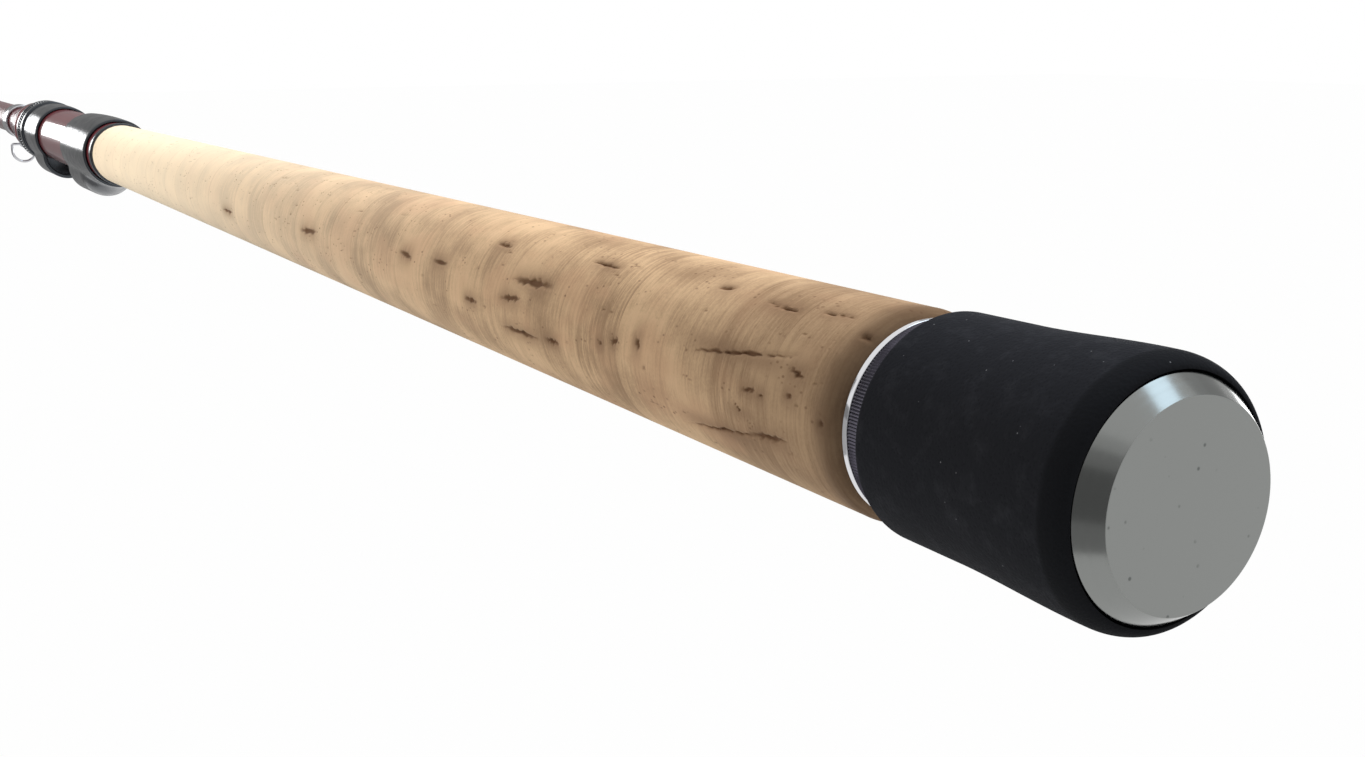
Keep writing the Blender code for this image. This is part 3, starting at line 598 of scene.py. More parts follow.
@dataclass(frozen=True)
class LacqueredCarbon(Finish):
    """Carbon blank under tinted lacquer: deep colour, faint tape marks and a few metal flakes."""

    tape_mm: float = 3.2
    tape_depth_mm: float = 0.03
    # Real flakes are about 0.05 mm, too fine to show, so they are drawn coarser.
    flake_mm: float = 0.22
    flake_colour: str = "#8a3a40"
    shade_colour: str = "#2c0c10"

    def paint(self, tree: Tree) -> dict[str, Socket]:
        """Add the spiral marks of the curing tape and the flakes in the lacquer.

        Args:
            tree: Node tree of the material.

        Returns:
            The pattern's sockets, by the shader inputs that they feed.
        """
        x, y, z = axes(tree)
        angle = add_node(tree, "Math", {0: y, 1: z}, operation="ARCTAN2")
        turn = add_node(tree, "Math", {0: angle, 1: math.tau}, operation="DIVIDE")
        turns = add_node(tree, "Math", {
            0: x, 1: 1 / (self.tape_mm * MM), 2: turn,
        }, operation="MULTIPLY_ADD")
        phase = add_node(tree, "Math", {0: turns}, operation="FRACT")
        mark = add_node(tree, "MapRange", {
            "Value": phase, "From Max": 0.12, "To Min": 0.35, "To Max": 0.0,
        }, **SOFTLY)
        tape = add_node(tree, "Mix", {
            SHARE: mark, FIRST: linear(self.colour), SECOND: linear(self.shade_colour),
        }, **OF_COLOURS)
        flakes = add_node(tree, "TexVoronoi", {
            "Vector": scaled_place(tree, self.flake_mm), "Scale": 1.0,
        }, "Color")
        bright = add_node(tree, "SeparateXYZ", {0: flakes})
        share = add_node(tree, "MapRange", {"Value": bright, "From Min": 0.86, "To Max": 0.45})
        colour = add_node(tree, "Mix", {
            SHARE: share, FIRST: tape, SECOND: linear(self.flake_colour),
        }, **OF_COLOURS)
        bump = add_node(tree, "Bump", {
            "Strength": 0.1, "Distance": self.tape_depth_mm * MM, "Height": mark,
        })
        return {"Base Color": colour, "Normal": bump}


@dataclass(frozen=True)
class Whipping(Finish):
    """Nylon thread wound tight round the blank under clear epoxy, with bright trim bands."""

    # Real thread is about 0.15 mm thick, too fine to show, so it is drawn coarser.
    thread_mm: float = 0.3
    thread_depth_mm: float = 0.06
    trim_colour: str = "#8c2a33"

    def paint(self, tree: Tree) -> dict[str, Socket]:
        """Add the turns of thread, with painted shade in the grooves between them; the attribute
        trim says where the bright thread is.

        Args:
            tree: Node tree of the material.

        Returns:
            The pattern's sockets, by the shader inputs that they feed.
        """
        along, _, _ = axes(tree)
        turns = add_node(tree, "Math", {0: along, 1: self.thread_mm * MM}, operation="DIVIDE")
        phase = add_node(tree, "Math", {0: turns, 1: 0.5}, operation="PINGPONG")
        # Painted shade: the thread's colour darkens towards the groove between turns.
        depth = add_node(tree, "MapRange", {
            "Value": phase, "From Max": 0.5, "To Min": 0.45,
        }, **SOFTLY)
        trim = add_node(tree, "Attribute", output="Fac", attribute_name="trim")
        thread = add_node(tree, "Mix", {
            SHARE: trim, FIRST: linear(self.colour), SECOND: linear(self.trim_colour),
        }, **OF_COLOURS)
        colour = add_node(tree, "VectorMath", {0: thread, "Scale": depth}, operation="SCALE")
        bump = add_node(tree, "Bump", {
            "Strength": 0.5, "Distance": self.thread_depth_mm * MM, "Height": phase,
        })
        return {"Base Color": colour, "Normal": bump}


@dataclass(frozen=True)
class QuiverPaint(Finish):
    """Signal paint on a glass-fibre tip: dark where it plugs in, then orange with pale rings."""

    root_colour: str = "#2a1013"
    ring_colour: str = "#f4efe4"
    painted_from_m: float = -2.62
    ring_mm: float = 70.0
    ring_share: float = 0.12
    brush_mm: tuple[float, float] = (6.0, 0.4)
    brush_depth_mm: float = 0.02

    def paint(self, tree: Tree) -> dict[str, Socket]:
        """Add the unpainted root and the rings.

        Args:
            tree: Node tree of the material.

        Returns:
            The pattern's sockets, by the shader inputs that they feed.
        """
        along, _, _ = axes(tree)
        count = add_node(tree, "Math", {0: along, 1: self.ring_mm * MM}, operation="DIVIDE")
        phase = add_node(tree, "Math", {0: count}, operation="FRACT")
        in_ring = add_node(tree, "Math", {0: phase, 1: self.ring_share}, operation="LESS_THAN")
        painted = add_node(tree, "Math", {0: along, 1: self.painted_from_m}, operation="LESS_THAN")
        brush = add_node(tree, "TexNoise", {
            "Vector": scaled_place(tree, *self.brush_mm), "Scale": 1.0, "Detail": 2.0,
        })
        orange = add_node(tree, "Mix", {
            SHARE: in_ring, FIRST: linear(self.colour), SECOND: linear(self.ring_colour),
        }, **OF_COLOURS)
        colour = add_node(tree, "Mix", {
            SHARE: painted, FIRST: linear(self.root_colour), SECOND: orange,
        }, **OF_COLOURS)
        bump = add_node(tree, "Bump", {
            "Strength": 0.15, "Distance": self.brush_depth_mm * MM, "Height": brush,
        })
        return {"Base Color": colour, "Normal": bump}


@dataclass(frozen=True)
class WoundFibre(Finish):
    """Wound paper or moulded nylon, seen only with the seat or the cap taken off."""

    fibre_mm: float = 0.5
    fibre_length_mm: float = 5.0
    fibre_depth_mm: float = 0.05

    def paint(self, tree: Tree) -> dict[str, Socket]:
        """Add fibres that run round the part.

        Args:
            tree: Node tree of the material.

        Returns:
            The pattern's sockets, by the shader inputs that they feed.
        """
        fibres = add_node(tree, "TexNoise", {
            "Vector": scaled_place(tree, self.fibre_mm, self.fibre_length_mm),
            "Scale": 1.0, "Detail": 3.0,
        })
        shade = add_node(tree, "MapRange", {"Value": fibres, "To Min": 0.7, "To Max": 1.1})
        colour = add_node(tree, "VectorMath", {
            0: linear(self.colour)[:3], "Scale": shade,
        }, operation="SCALE")
        bump = add_node(tree, "Bump", {
            "Strength": 0.3, "Distance": self.fibre_depth_mm * MM, "Height": fibres,
        })
        return {"Base Color": colour, "Normal": bump}


# No finish has the name of a packed material, because material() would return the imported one.

# Bead blasting scatters the light: an even pale grey face that mirrors nothing.
CAP_FACE = BlastedAluminium("blasted_aluminium", "#8c8e8c", 0.42, metallic=1.0)
# The lathe's rings draw each reflection on the rim out into a bright streak.
CAP_RIM = TurnedMetal("turned_aluminium", "#858785", 0.16, metallic=1.0, anisotropy=0.5)
# Closed cells swallow the light: a soft black with no highlight, broken by dust, with painted shade
# on its rounded end by the cap.
FOAM = EvaFoam("eva_foam", "#1f2024", 0.9, specular=0.08)
# Black nickel over cut teeth: a thin, dark and faintly violet glint on each tooth.
KNURL = MottledMetal("black_nickel", "#56535e", 0.22, metallic=1.0)
# Polished steel mirrors the studio: a white line between two dark neighbours.
BRIGHT_RING = TurnedMetal("mirror_steel", "#d9d9dc", 0.1, metallic=1.0)
# Sanded cork is dry: warm colour, bands and pits carry it, with hardly any highlight.
CORK = Cork("sanded_cork", "#b8956b", 0.8, ior=1.4, specular=0.25)
# Gunmetal plating: dark grey with broad reflections that handling has made uneven.
GUNMETAL = MottledMetal("gunmetal_plate", "#43464a", 0.2, metallic=1.0)
# Clear lacquer over a tinted one: a sharp highlight that floats above a deep red.
LACQUER = LacqueredCarbon("burgundy_clearcoat", "#54191f", 0.35, specular=0.3, coat=0.5)
# Thread under epoxy: fine dark ribs with painted shade between them, below a smooth surface that
# looks wet.
WHIPPING = Whipping("epoxied_thread", "#1c1a1c", 0.4, coat=1.0)
# Drawn stainless wire: a bright, narrow highlight along every bend.
WIRE = MottledMetal("bright_stainless", "#c8c8cc", 0.16, metallic=1.0, scratch_mm=0.15)
# Polished zirconia: nearly black, with a hard glint like glass.
CERAMIC = MottledMetal("polished_zirconia", "#26262a", 0.1, ior=2.1)
# Brushed signal paint: even and bright with a mild gloss, made to be watched.
QUIVER_PAINT = QuiverPaint("signal_paint", "#e4631c", 0.35, coat=0.6)
# Wound and glued paper: dull, with fibres round it.
FIBRE = WoundFibre("wound_fibre", "#c2b48f", 0.8)
# Moulded nylon: dark grey with a waxy, blurred sheen.
NYLON = WoundFibre("moulded_nylon", "#383838", 0.5, ior=1.53)


def smooth(share: Any) -> Any:
    """Ease a share, or an array of them, in and out between 0 and 1."""
    return share * share * (3 - 2 * share)


def half_turn(angle: Array) -> Array:
    """The same angles, counted from minus half a turn to half a turn."""
    return (angle + math.pi) % math.tau - math.pi


def eased(corners: Sequence[Corner], step: Step = Step.SMALL, closed: bool = True) -> Profile:
    """Round the corners of an outline.

    Args:
        corners: Each corner's x, radius and the length that its rounding takes from both sides.
        step: How finely each corner is rounded.
        closed: Whether the last corner joins the first.

    Returns:
        The outline's (x, radius) points.
    """
    points: Profile = []
    for index, (x, radius, soft) in enumerate(corners):
        at_end = not closed and index in (0, len(corners) - 1)
        if soft == 0 or at_end:
            points.append((x, radius))
            continue
        here = Vector((x, radius))
        before = Vector(corners[index - 1][:2]) - here
        after = Vector(corners[(index + 1) % len(corners)][:2]) - here
        first = here + before.normalized() * soft
        last = here + after.normalized() * soft
        for part in range(step.value + 1):
            t = part / step.value
            point = first * (1 - t) ** 2 + here * 2 * t * (1 - t) + last * t ** 2
            points.append((point.x, point.y))
    return points


def turned(
    name: str,
    profile: Profile,
    segments: int,
    closed: bool = True,
    height: float = 0.0,
    reshape: Reshape | None = None,
) -> Piece:
    """Turn an outline about a line along X.

    Args:
        name: Name of the piece.
        profile: (x, radius) points, along the outside from the butt towards the tip, then back.
        segments: Number of flats round the piece.
        closed: True for a bored piece; a solid one starts and ends on its axis.
        height: Height of the turning axis.
        reshape: Gives the new radii from x, angle and radius, for teeth, pits and flats.

    Returns:
        The new object.
    """
    points = np.array(profile)
    x = np.repeat(points[:, 0], segments)
    radius = np.repeat(points[:, 1], segments)
    angle = np.tile(np.arange(segments) * math.tau / segments, len(points))
    if reshape:
        radius = reshape(x, angle, radius)
    vertices = np.stack((x, -np.sin(angle) * radius, height + np.cos(angle) * radius), axis=1)
    ring_count = len(points) if closed else len(points) - 1
    ring = np.repeat(np.arange(ring_count), segments)
    flat = np.tile(np.arange(segments), ring_count)
    next_ring = (ring + 1) % len(points)
    next_flat = (flat + 1) % segments
    quads = np.stack((
        ring * segments + flat, next_ring * segments + flat,
        next_ring * segments + next_flat, ring * segments + next_flat,
    ), axis=1)
    mesh = bpy.data.meshes.new(name)
    mesh.from_pydata(vertices.tolist(), [], quads.tolist())
    if not closed:
        weld(mesh)
    return shown(name, mesh)


def tube_outline(
    ends: tuple[float, float], radius: float, bore: float, rounds: tuple[float, float],
    step: Step = Step.SMALL,
) -> Profile:
    """Outline of a plain ring or tube with rounded outer edges.

    Args:
        ends: x of its butt end and of its tip end.
        radius: Its outer radius.
        bore: Its inner radius.
        rounds: Rounding of the outer edge at each end.
        step: How finely the edges are rounded.

    Returns:
        The outline's (x, radius) points.
    """
    back, front = ends
    return eased((
        (back, radius, rounds[0]), (front, radius, rounds[1]), (front, bore, 0.0),
        (back, bore, 0.0),
    ), step)


def weld(mesh: Mesh, distance: float = SAME_PLACE) -> None:
    """Merge the points of a mesh that lie in one place.

    Args:
        mesh: Mesh to change.
        distance: Greatest distance between points that merge.
    """
    shape = bmesh.new()
    shape.from_mesh(mesh)
    bmesh.ops.remove_doubles(shape, verts=shape.verts, dist=distance)
    bmesh.ops.dissolve_degenerate(shape, dist=distance, edges=shape.edges)
    shape.to_mesh(mesh)
    shape.free()


def crease(mesh: Mesh) -> None:
    """Shade a mesh smooth between its crisp edges."""
    mesh.shade_smooth()
    mesh.set_sharp_from_angle(angle=CRISP_ANGLE)


def add_object(name: str, data: bpy.types.ID) -> Piece:
    """Put a mesh, a curve, a lamp or a camera in the scene.

    Args:
        name: Name of the new object.
        data: What the object shows.

    Returns:
        The new object.
    """
    holder = bpy.data.objects.new(name, data)
    bpy.context.scene.collection.objects.link(holder)
    return holder


def shown(name: str, mesh: Mesh) -> Piece:
    """Put a mesh in the scene as a smooth piece with crisp edges.

    Args:
        name: Name of the piece.
        mesh: Its mesh.

    Returns:
        The new object.
    """
    crease(mesh)
    return add_object(name, mesh)


def final_mesh(holder: Piece) -> Mesh:
    """Mesh that an object's curve or modifiers give."""
    graph = bpy.context.evaluated_depsgraph_get()
    return bpy.data.meshes.new_from_object(holder.evaluated_get(graph))


def wire(name: str, points: Sequence[Vector], radius: float, closed: bool = False) -> Piece:
    """Bend a round wire through points.

    Args:
        name: Name of the piece.
        points: Points on the wire's centre line.
        radius: Radius of the wire.
        closed: Whether its ends meet.

    Returns:
        The wire as a closed mesh.
    """
    curve = bpy.data.curves.new(name, "CURVE")
    curve.dimensions = "3D"
    curve.bevel_depth = radius
    curve.bevel_resolution = WIRE_STEPS
    curve.use_fill_caps = True
    spline = curve.splines.new("POLY")
    spline.points.add(len(points) - 1)
    for target, point in zip(spline.points, points):
        target.co = (*point, 1.0)
    spline.use_cyclic_u = closed
    rail = add_object(name, curve)
    mesh = final_mesh(rail)
    bpy.data.objects.remove(rail)
    weld(mesh)
    return shown(name, mesh)


def bent(points: Sequence[Vector], reach: float) -> list[Vector]:
    """Round the sharp corners of a wire's path.

    Args:
        points: The path, corner to corner.
        reach: How far before and after a corner its bend runs.

    Returns:
        The path with a smooth bend at each sharp corner.
    """
    path = [points[0]]
    for before, corner, after in zip(points, points[1:], points[2:]):
        if (corner - before).angle(after - corner) < SHARP_BEND:
            path.append(corner)
            continue
        first, last = (
            corner + side.normalized() * min(reach, side.length * BEND_SHARE)
            for side in (before - corner, after - corner)
        )
        for share in np.linspace(0, 1, BEND_STEPS):
            path.append(first.lerp(corner, share).lerp(corner.lerp(last, share), share))
    path.append(points[-1])
    return path


def plate(name: str, outline: Profile, back: float, front: float) -> Piece:
    """Cut a flat plate that faces along X.

    Args:
        name: Name of the piece.
        outline: (y, z) points round its edge.
        back: x of its side towards the butt.
        front: x of its side towards the tip.

    Returns:
        The new object.
    """
    count = len(outline)
    faces = [tuple(range(count)), tuple(range(2 * count - 1, count - 1, -1))]
    for index in range(count):
        after = (index + 1) % count
        faces.append((index, index + count, after + count, after))
    mesh = bpy.data.meshes.new(name)
    mesh.from_pydata([(x, y, z) for x in (back, front) for y, z in outline], [], faces)
    shape = bmesh.new()
    shape.from_mesh(mesh)
    bmesh.ops.recalc_face_normals(shape, faces=shape.faces)
    shape.to_mesh(mesh)
    shape.free()
    return shown(name, mesh)


def combine(target: Piece, other: Piece, operation: Cut) -> None:
    """Join or cut a piece with another, which is used up.

    Args:
        target: Piece to change.
        other: Piece to join to it or to cut from it.
        operation: Whether to join or to cut.
    """
    modifier = target.modifiers.new(operation.value, "BOOLEAN")
    modifier.operation = operation.value
    modifier.object = other
    mesh = final_mesh(target)
    target.modifiers.clear()
    weld(mesh, SAME_PLACE_AFTER_CUT)
    crease(mesh)
    target.data = mesh
    bpy.data.objects.remove(other)


def mark(piece: Piece, attribute: str, values: Array) -> None:
    """Store one number for each of a piece's points, for its material to read."""
    layer = piece.data.attributes.new(attribute, "FLOAT", "POINT")
    layer.data.foreach_set("value", values.astype(np.float32))


def dress(piece: Piece, finish: Finish, slot: str, body: Body, *nodes: str) -> None:
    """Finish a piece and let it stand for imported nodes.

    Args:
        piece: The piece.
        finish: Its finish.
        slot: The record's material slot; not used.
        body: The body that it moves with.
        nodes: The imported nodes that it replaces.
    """
    piece.data.materials.append(finish.material())
    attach(piece, body.value)
    if nodes:
        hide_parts(*nodes)
    LOG.info("%s: %s on %s", piece.name, finish.name, body.value)


def recoat(node: str, finish: Finish) -> None:
    """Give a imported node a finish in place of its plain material, and leave its shape.

    Args:
        node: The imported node.
        finish: Its finish.
    """
    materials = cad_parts[node].data.materials
    materials.clear()
    materials.append(finish.material())
    LOG.info("%s: %s on the packed shape", node, finish.name)


def span(node: str) -> tuple[float, float]:
    """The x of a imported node's butt end and of its tip end."""
    low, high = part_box(node)
    return high.x, low.x


def outer_radius(node: str) -> float:
    """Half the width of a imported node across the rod."""
    low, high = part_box(node)
    return (high.y - low.y) / 2


@dataclass
class ButtEnd:
    """Butt cap, foam grip and the two trim rings: everything behind the cork."""

    face_radius: float = 10.65 * MM
    chamfer_depth: float = 2.66 * MM
    flange_length: float = 8.0 * MM
    stem_radius: float = 3.4 * MM
    stem_length: float = 22.0 * MM
    stem_round: float = 0.48 * MM
    edge_round: float = 0.12 * MM
    lip_radius: float = 12.62 * MM
    lip_cover: float = 0.2 * MM
    swell_radius: float = 14.05 * MM
    swell_setback: float = 3.1 * MM
    waist_radius: float = 13.3 * MM
    waist_setback: float = 20.0 * MM
    front_radius: float = 13.2 * MM
    front_round: float = 0.6 * MM
    painted_end_shade_length: float = 0.5 * MM
    recess_play: float = 0.2 * MM
    curve_rows: int = 14
    bore: float = 7.5 * MM
    ring_gap: float = 0.22 * MM
    knurl_edges: tuple[float, float] = (0.25 * MM, 0.08 * MM)
    ring_edge: float = 0.15 * MM
    teeth: int = 190
    flats_per_tooth: int = 6
    tooth_depth: float = 0.16 * MM
    segments: int = 320

    def build(self) -> None:
        """Make the cap, the foam and the rings, and recoat the hidden plug."""
        self.make_cap()
        self.make_foam()
        self.make_knurled_ring()
        self.make_polished_ring()
        recoat("butt_plug", NYLON)

    def make_cap(self) -> None:
        """Turn the cap: blasted face, bright chamfer with crisp edges, flange and stem."""
        face, _ = span("butt_cap")
        radius = outer_radius("butt_cap")
        flange = face - self.flange_length
        stem_end = flange - self.stem_length
        profile = eased((
            (face, 0.0, 0.0),
            (face, self.face_radius, self.edge_round),
            (face - self.chamfer_depth, radius, self.edge_round),
            (flange, radius, self.edge_round),
            (flange, self.stem_radius, 0.0),
            (stem_end, self.stem_radius, self.stem_round),
            (stem_end, 0.0, 0.0),
        ), closed=False)
        cap = turned("butt_cap_turned", profile, self.segments, closed=False)
        dress(cap, CAP_RIM, "satin_aluminium", Body.BUTT, "butt_cap")
        cap.data.materials.append(CAP_FACE.material())
        for polygon in cap.data.polygons:
            inside = math.hypot(polygon.center.y, polygon.center.z) < self.face_radius
            if inside and polygon.center.x > face - self.edge_round / 2:
                polygon.material_index = 1

    def make_foam(self) -> None:
        """Turn the foam: a rounded lip over the cap's rim, a swell, a waist and a front edge."""
        _, front = span("butt_grip")
        cap_face, _ = span("butt_cap")
        lip = cap_face - self.chamfer_depth + self.lip_cover
        swell = lip - self.swell_setback
        recess = cap_face - self.flange_length - self.recess_play
        outside: Profile = [(lip, self.lip_radius)]
        shares = [(row + 1) / self.curve_rows for row in range(self.curve_rows)]
        for share in shares:
            x = lip - self.swell_setback * (1 - math.cos(math.pi / 2 * share))
            rise = (self.swell_radius - self.lip_radius) * math.sin(math.pi / 2 * share)
            outside.append((x, self.lip_radius + rise))
        for share in shares:
            fall = (self.swell_radius - self.waist_radius) * smooth(share)
            outside.append((swell - self.waist_setback * share, self.swell_radius - fall))
        outside += eased((
            (swell - self.waist_setback, self.waist_radius, 0.0),
            (front, self.front_radius, self.front_round),
            (front, self.bore, 0.0),
        ), Step.FINE, closed=False)[1:]
        outside += [(recess, self.bore), (recess, self.lip_radius)]
        foam = turned("butt_grip_foam", outside, self.segments)
        # The rounded end, from the swell to the lip, is marked for painted shade.
        places = np.array([vertex.co.x for vertex in foam.data.vertices])
        mark(foam, "painted_end_shade", np.clip((places - swell) / self.painted_end_shade_length, 0, 1))
        dress(foam, FOAM, "black_foam", Body.BUTT, "butt_grip")

    def make_knurled_ring(self) -> None:
        """Turn the knurled ring and press its straight teeth into it."""
        back, front = span("knurled_ring")
        profile = tube_outline(
            (back, front - self.ring_gap), outer_radius("knurled_ring"), self.bore,
            self.knurl_edges,
        )

        def teeth(x: Array, angle: Array, size: Array) -> Array:
            """Cut the teeth into the outside.

            Args:
                x: Places along the ring, which the straight teeth don't follow.
                angle: Angles from the top.
                size: Radii before the teeth.

            Returns:
                Radii with the teeth.
            """
            wave = 0.5 + 0.5 * np.cos(angle * self.teeth)
            outside = size > (self.bore + self.front_radius) / 2
            return np.where(outside, size - self.tooth_depth * wave, size)

        flats = self.teeth * self.flats_per_tooth
        ring = turned("knurled_ring_teeth", profile, flats, reshape=teeth)
        dress(ring, KNURL, "gunmetal", Body.BUTT, "knurled_ring")

    def make_polished_ring(self) -> None:
        """Turn the narrow ring with its two bright rounded edges."""
        profile = tube_outline(
            span("polished_ring"), outer_radius("polished_ring"), self.bore,
            (self.ring_edge, self.ring_edge), Step.FINE,
        )
        ring = turned("polished_ring_bright", profile, self.segments)
        dress(ring, BRIGHT_RING, "polished_steel", Body.BUTT, "polished_ring")


@dataclass(frozen=True)
class Flaw:
    """A crack or pit in the cork: where its middle is, how long and wide it is, and its drift."""

    station_mm: float
    angle_deg: float
    length_mm: float
    width_mm: float
    depth_mm: float = 0.35
    drift_deg: float = 0.0

    def weigh(
        self, station: Array, angle: Array, radius: Array, even_width_mm: float
    ) -> Array:
        """How deep the flaw cuts at each point, as a share of its own depth.

        Args:
            station: Distances of the points from the butt cap's face.
            angle: Their angles round the rod.
            radius: Their distances from the axis.
            even_width_mm: Width from which on a flaw wanders less.

        Returns:
            The shares, 0 at the flaw's ragged edge and 1 in its middle.
        """
        # Sines of unlike lengths make the flaw's course wander and its edges ragged.
        u = (station - self.station_mm * MM) / (self.length_mm * MM / 2)
        middle = math.radians(self.angle_deg) - math.radians(self.drift_deg) * u / 2
        wander = 0.25 * np.sin(u * 9 + self.angle_deg) + 0.2 * np.sin(u * 23 + self.station_mm)
        ragged = 0.65 + 0.35 * np.sin(u * 14 + self.station_mm) * np.sin(u * 5 + self.angle_deg)
        v = half_turn(angle - middle) * radius / (self.width_mm * MM / 2 * ragged)
        v = v + wander * min(1, even_width_mm / self.width_mm)
        return np.clip(1.15 - np.sqrt(u ** 2 * 0.9 + v ** 2), 0, 1)


@dataclass
class CorkGrip:
    """The rear grip: glued cork discs turned in one, with the flaws that real cork has."""

    seat_radius: float = 10.0 * MM
    outside_share: float = 0.93
    butt_bore: float = 7.5 * MM
    seat_bore: float = 7.1 * MM
    shoulder_round: float = 2.4 * MM
    shoulder_rows: int = 14
    end_round: float = 0.8 * MM
    end_edge: float = 0.72 * MM
    disc_length: float = 12.6 * MM
    seam_depth: float = 0.035 * MM
    seam_share: float = 0.03
    near_step: float = 0.42 * MM
    far_step: float = 1.1 * MM
    near_length: float = 112.0 * MM
    segments: int = 256
    small_flaws: int = 420
    long_share: float = 0.3
    small_flaw_weight: float = 0.55
    halo_reach: float = 1.1 * MM
    even_width_mm: float = 0.8
    seed: int = 7
    flaws: tuple[Flaw, ...] = (
        Flaw(61.5, 66.0, 24.0, 0.8, 0.5, -15.0),
        Flaw(64.5, 115.0, 21.0, 0.7, 0.45, -14.0),
        Flaw(53.5, 107.0, 9.0, 1.3, 0.4, -4.0),
        Flaw(58.5, 32.0, 8.0, 0.6, 0.4, 2.0),
        Flaw(48.4, 27.5, 6.5, 0.5, 0.35, -2.0),
        Flaw(72.8, 28.5, 3.6, 1.3, 0.35, -3.0),
        Flaw(48.4, 66.6, 3.4, 1.2, 0.45, 3.0),
        Flaw(48.8, 79.0, 1.3, 0.9, 0.4),
        Flaw(42.0, 88.0, 1.2, 1.2, 0.4),
        Flaw(40.9, 37.0, 1.6, 1.3, 0.45),
        Flaw(57.4, 83.5, 3.2, 1.1, 0.45, -2.0),
        Flaw(54.6, 84.5, 1.2, 0.9, 0.4),
        Flaw(58.9, 98.0, 5.5, 0.45, 0.3, 16.0),
        Flaw(121.5, 63.5, 14.5, 2.2, 0.5, -3.0),
        Flaw(127.7, 79.5, 8.0, 1.7, 0.45, -4.0),
        Flaw(124.5, 103.0, 15.0, 1.4, 0.45, -1.0),
        Flaw(112.5, 100.0, 5.0, 1.6, 0.45),
        Flaw(92.0, 83.5, 2.2, 1.8, 0.4, -3.0),
        Flaw(85.6, 79.8, 1.6, 2.6, 0.45, 4.0),
        Flaw(96.2, 88.0, 1.4, 1.2, 0.35),
        Flaw(104.0, 35.0, 9.0, 0.9, 0.4),
        Flaw(138.0, 41.5, 6.0, 1.2, 0.4),
        Flaw(143.6, 92.0, 6.0, 1.5, 0.4),
        Flaw(158.4, 70.6, 7.0, 2.0, 0.45),
        Flaw(175.0, 74.0, 7.0, 2.2, 0.45, 4.0),
        Flaw(233.0, 84.0, 12.0, 2.2, 0.45, -4.0),
        Flaw(300.0, 96.0, 10.0, 1.4, 0.4),
    )
    depth: Array = field(default_factory=lambda: np.zeros(0))
    halo: Array = field(default_factory=lambda: np.zeros(0))

    def build(self) -> None:
        """Turn the grip and mark where its flaws are."""
        start, end = span("rear_cork_grip")
        butt_radius = outer_radius("rear_cork_grip")
        shoulder = [
            (start - self.shoulder_round * (1 - math.cos(turn)),
             butt_radius - self.shoulder_round * (1 - math.sin(turn)))
            for turn in np.linspace(0, math.pi / 2, self.shoulder_rows)
        ]
        near_end = start - self.near_length
        near = np.arange(shoulder[-1][0] - self.near_step, near_end, -self.near_step)
        far = np.arange(near_end, end + self.end_round, -self.far_step)
        body = [
            (x, butt_radius + (self.seat_radius - butt_radius) * (start - x) / (start - end))
            for x in (*near, *far)
        ]
        closing = eased((
            (end + self.end_round, self.seat_radius, 0.0),
            (end, self.seat_radius, self.end_edge),
            (end, self.seat_bore, 0.0),
        ), Step.FINE, closed=False)[1:]
        profile = shoulder + body + closing + [(start, self.butt_bore)]
        grip = turned("rear_cork_discs", profile, self.segments, reshape=self.carve)
        mark(grip, "flaw", self.depth)
        mark(grip, "halo", self.halo)
        dress(grip, CORK, "cork", Body.BUTT, "rear_cork_grip")

    def carve(self, x: Array, angle: Array, radius: Array) -> Array:
        """Press the flaws and the disc seams into the grip's outside.

        Args:
            x: Place of each point along the rod.
            angle: Its angle round the rod.
            radius: Its distance from the axis.

        Returns:
            The new radii.
        """
        start, end = span("rear_cork_grip")
        cap_face, _ = span("butt_cap")
        station = cap_face - x
        outside = radius > self.outside_share * self.seat_radius
        self.depth, self.halo, cut = np.zeros((3, len(x)))
        strewn = self.scattered(cap_face - start, cap_face - end)
        for flaw, share in (
            *((flaw, 1.0) for flaw in self.flaws),
            *((flaw, self.small_flaw_weight) for flaw in strewn),
        ):
            away = np.abs(station - flaw.station_mm * MM)
            rows = np.nonzero((away < flaw.length_mm * MM / 2) & outside)[0]
            weight = share * flaw.weigh(
                station[rows], angle[rows], radius[rows], self.even_width_mm
            )
            self.depth[rows] = np.maximum(self.depth[rows], weight)
            cut[rows] = np.maximum(cut[rows], weight * flaw.depth_mm * MM)
        for flaw in self.flaws:
            turn = half_turn(angle - math.radians(flaw.angle_deg))
            around = turn * radius / (flaw.width_mm * MM * 0.9 + self.halo_reach)
            half = flaw.length_mm * MM / 2
            along = (station - flaw.station_mm * MM) / (half + self.halo_reach)
            glow = np.exp(-(around ** 2 + along ** 4) * 2) * outside
            self.halo = np.maximum(self.halo, glow)
        phase = (station - (cap_face - start)) / self.disc_length % 1
        seam = np.abs(phase - 0.5) > (1 - self.seam_share) / 2
        return radius - cut - np.where(seam & outside, self.seam_depth, 0.0)

    def scattered(self, first: float, last: float) -> list[Flaw]:
        """Small pits and short cracks strewn over the whole grip.

        Args:
            first: Station of the grip's butt end.
            last: Station of its seat end.

        Returns:
            The flaws, the same ones each time.
        """
        random = np.random.default_rng(self.seed)
        found = []
        for _ in range(self.small_flaws):
            long = random.random() < self.long_share
            found.append(Flaw(
                station_mm=random.uniform(first, last) / MM,
                angle_deg=random.uniform(0, 360),
                length_mm=random.uniform(2.0, 6.0) if long else random.uniform(0.7, 1.8),
                width_mm=random.uniform(0.35, 0.7) if long else random.uniform(0.5, 1.1),
                depth_mm=random.uniform(0.1, 0.3),
                drift_deg=random.uniform(-6, 6) if long else 0.0,
            ))
        return found


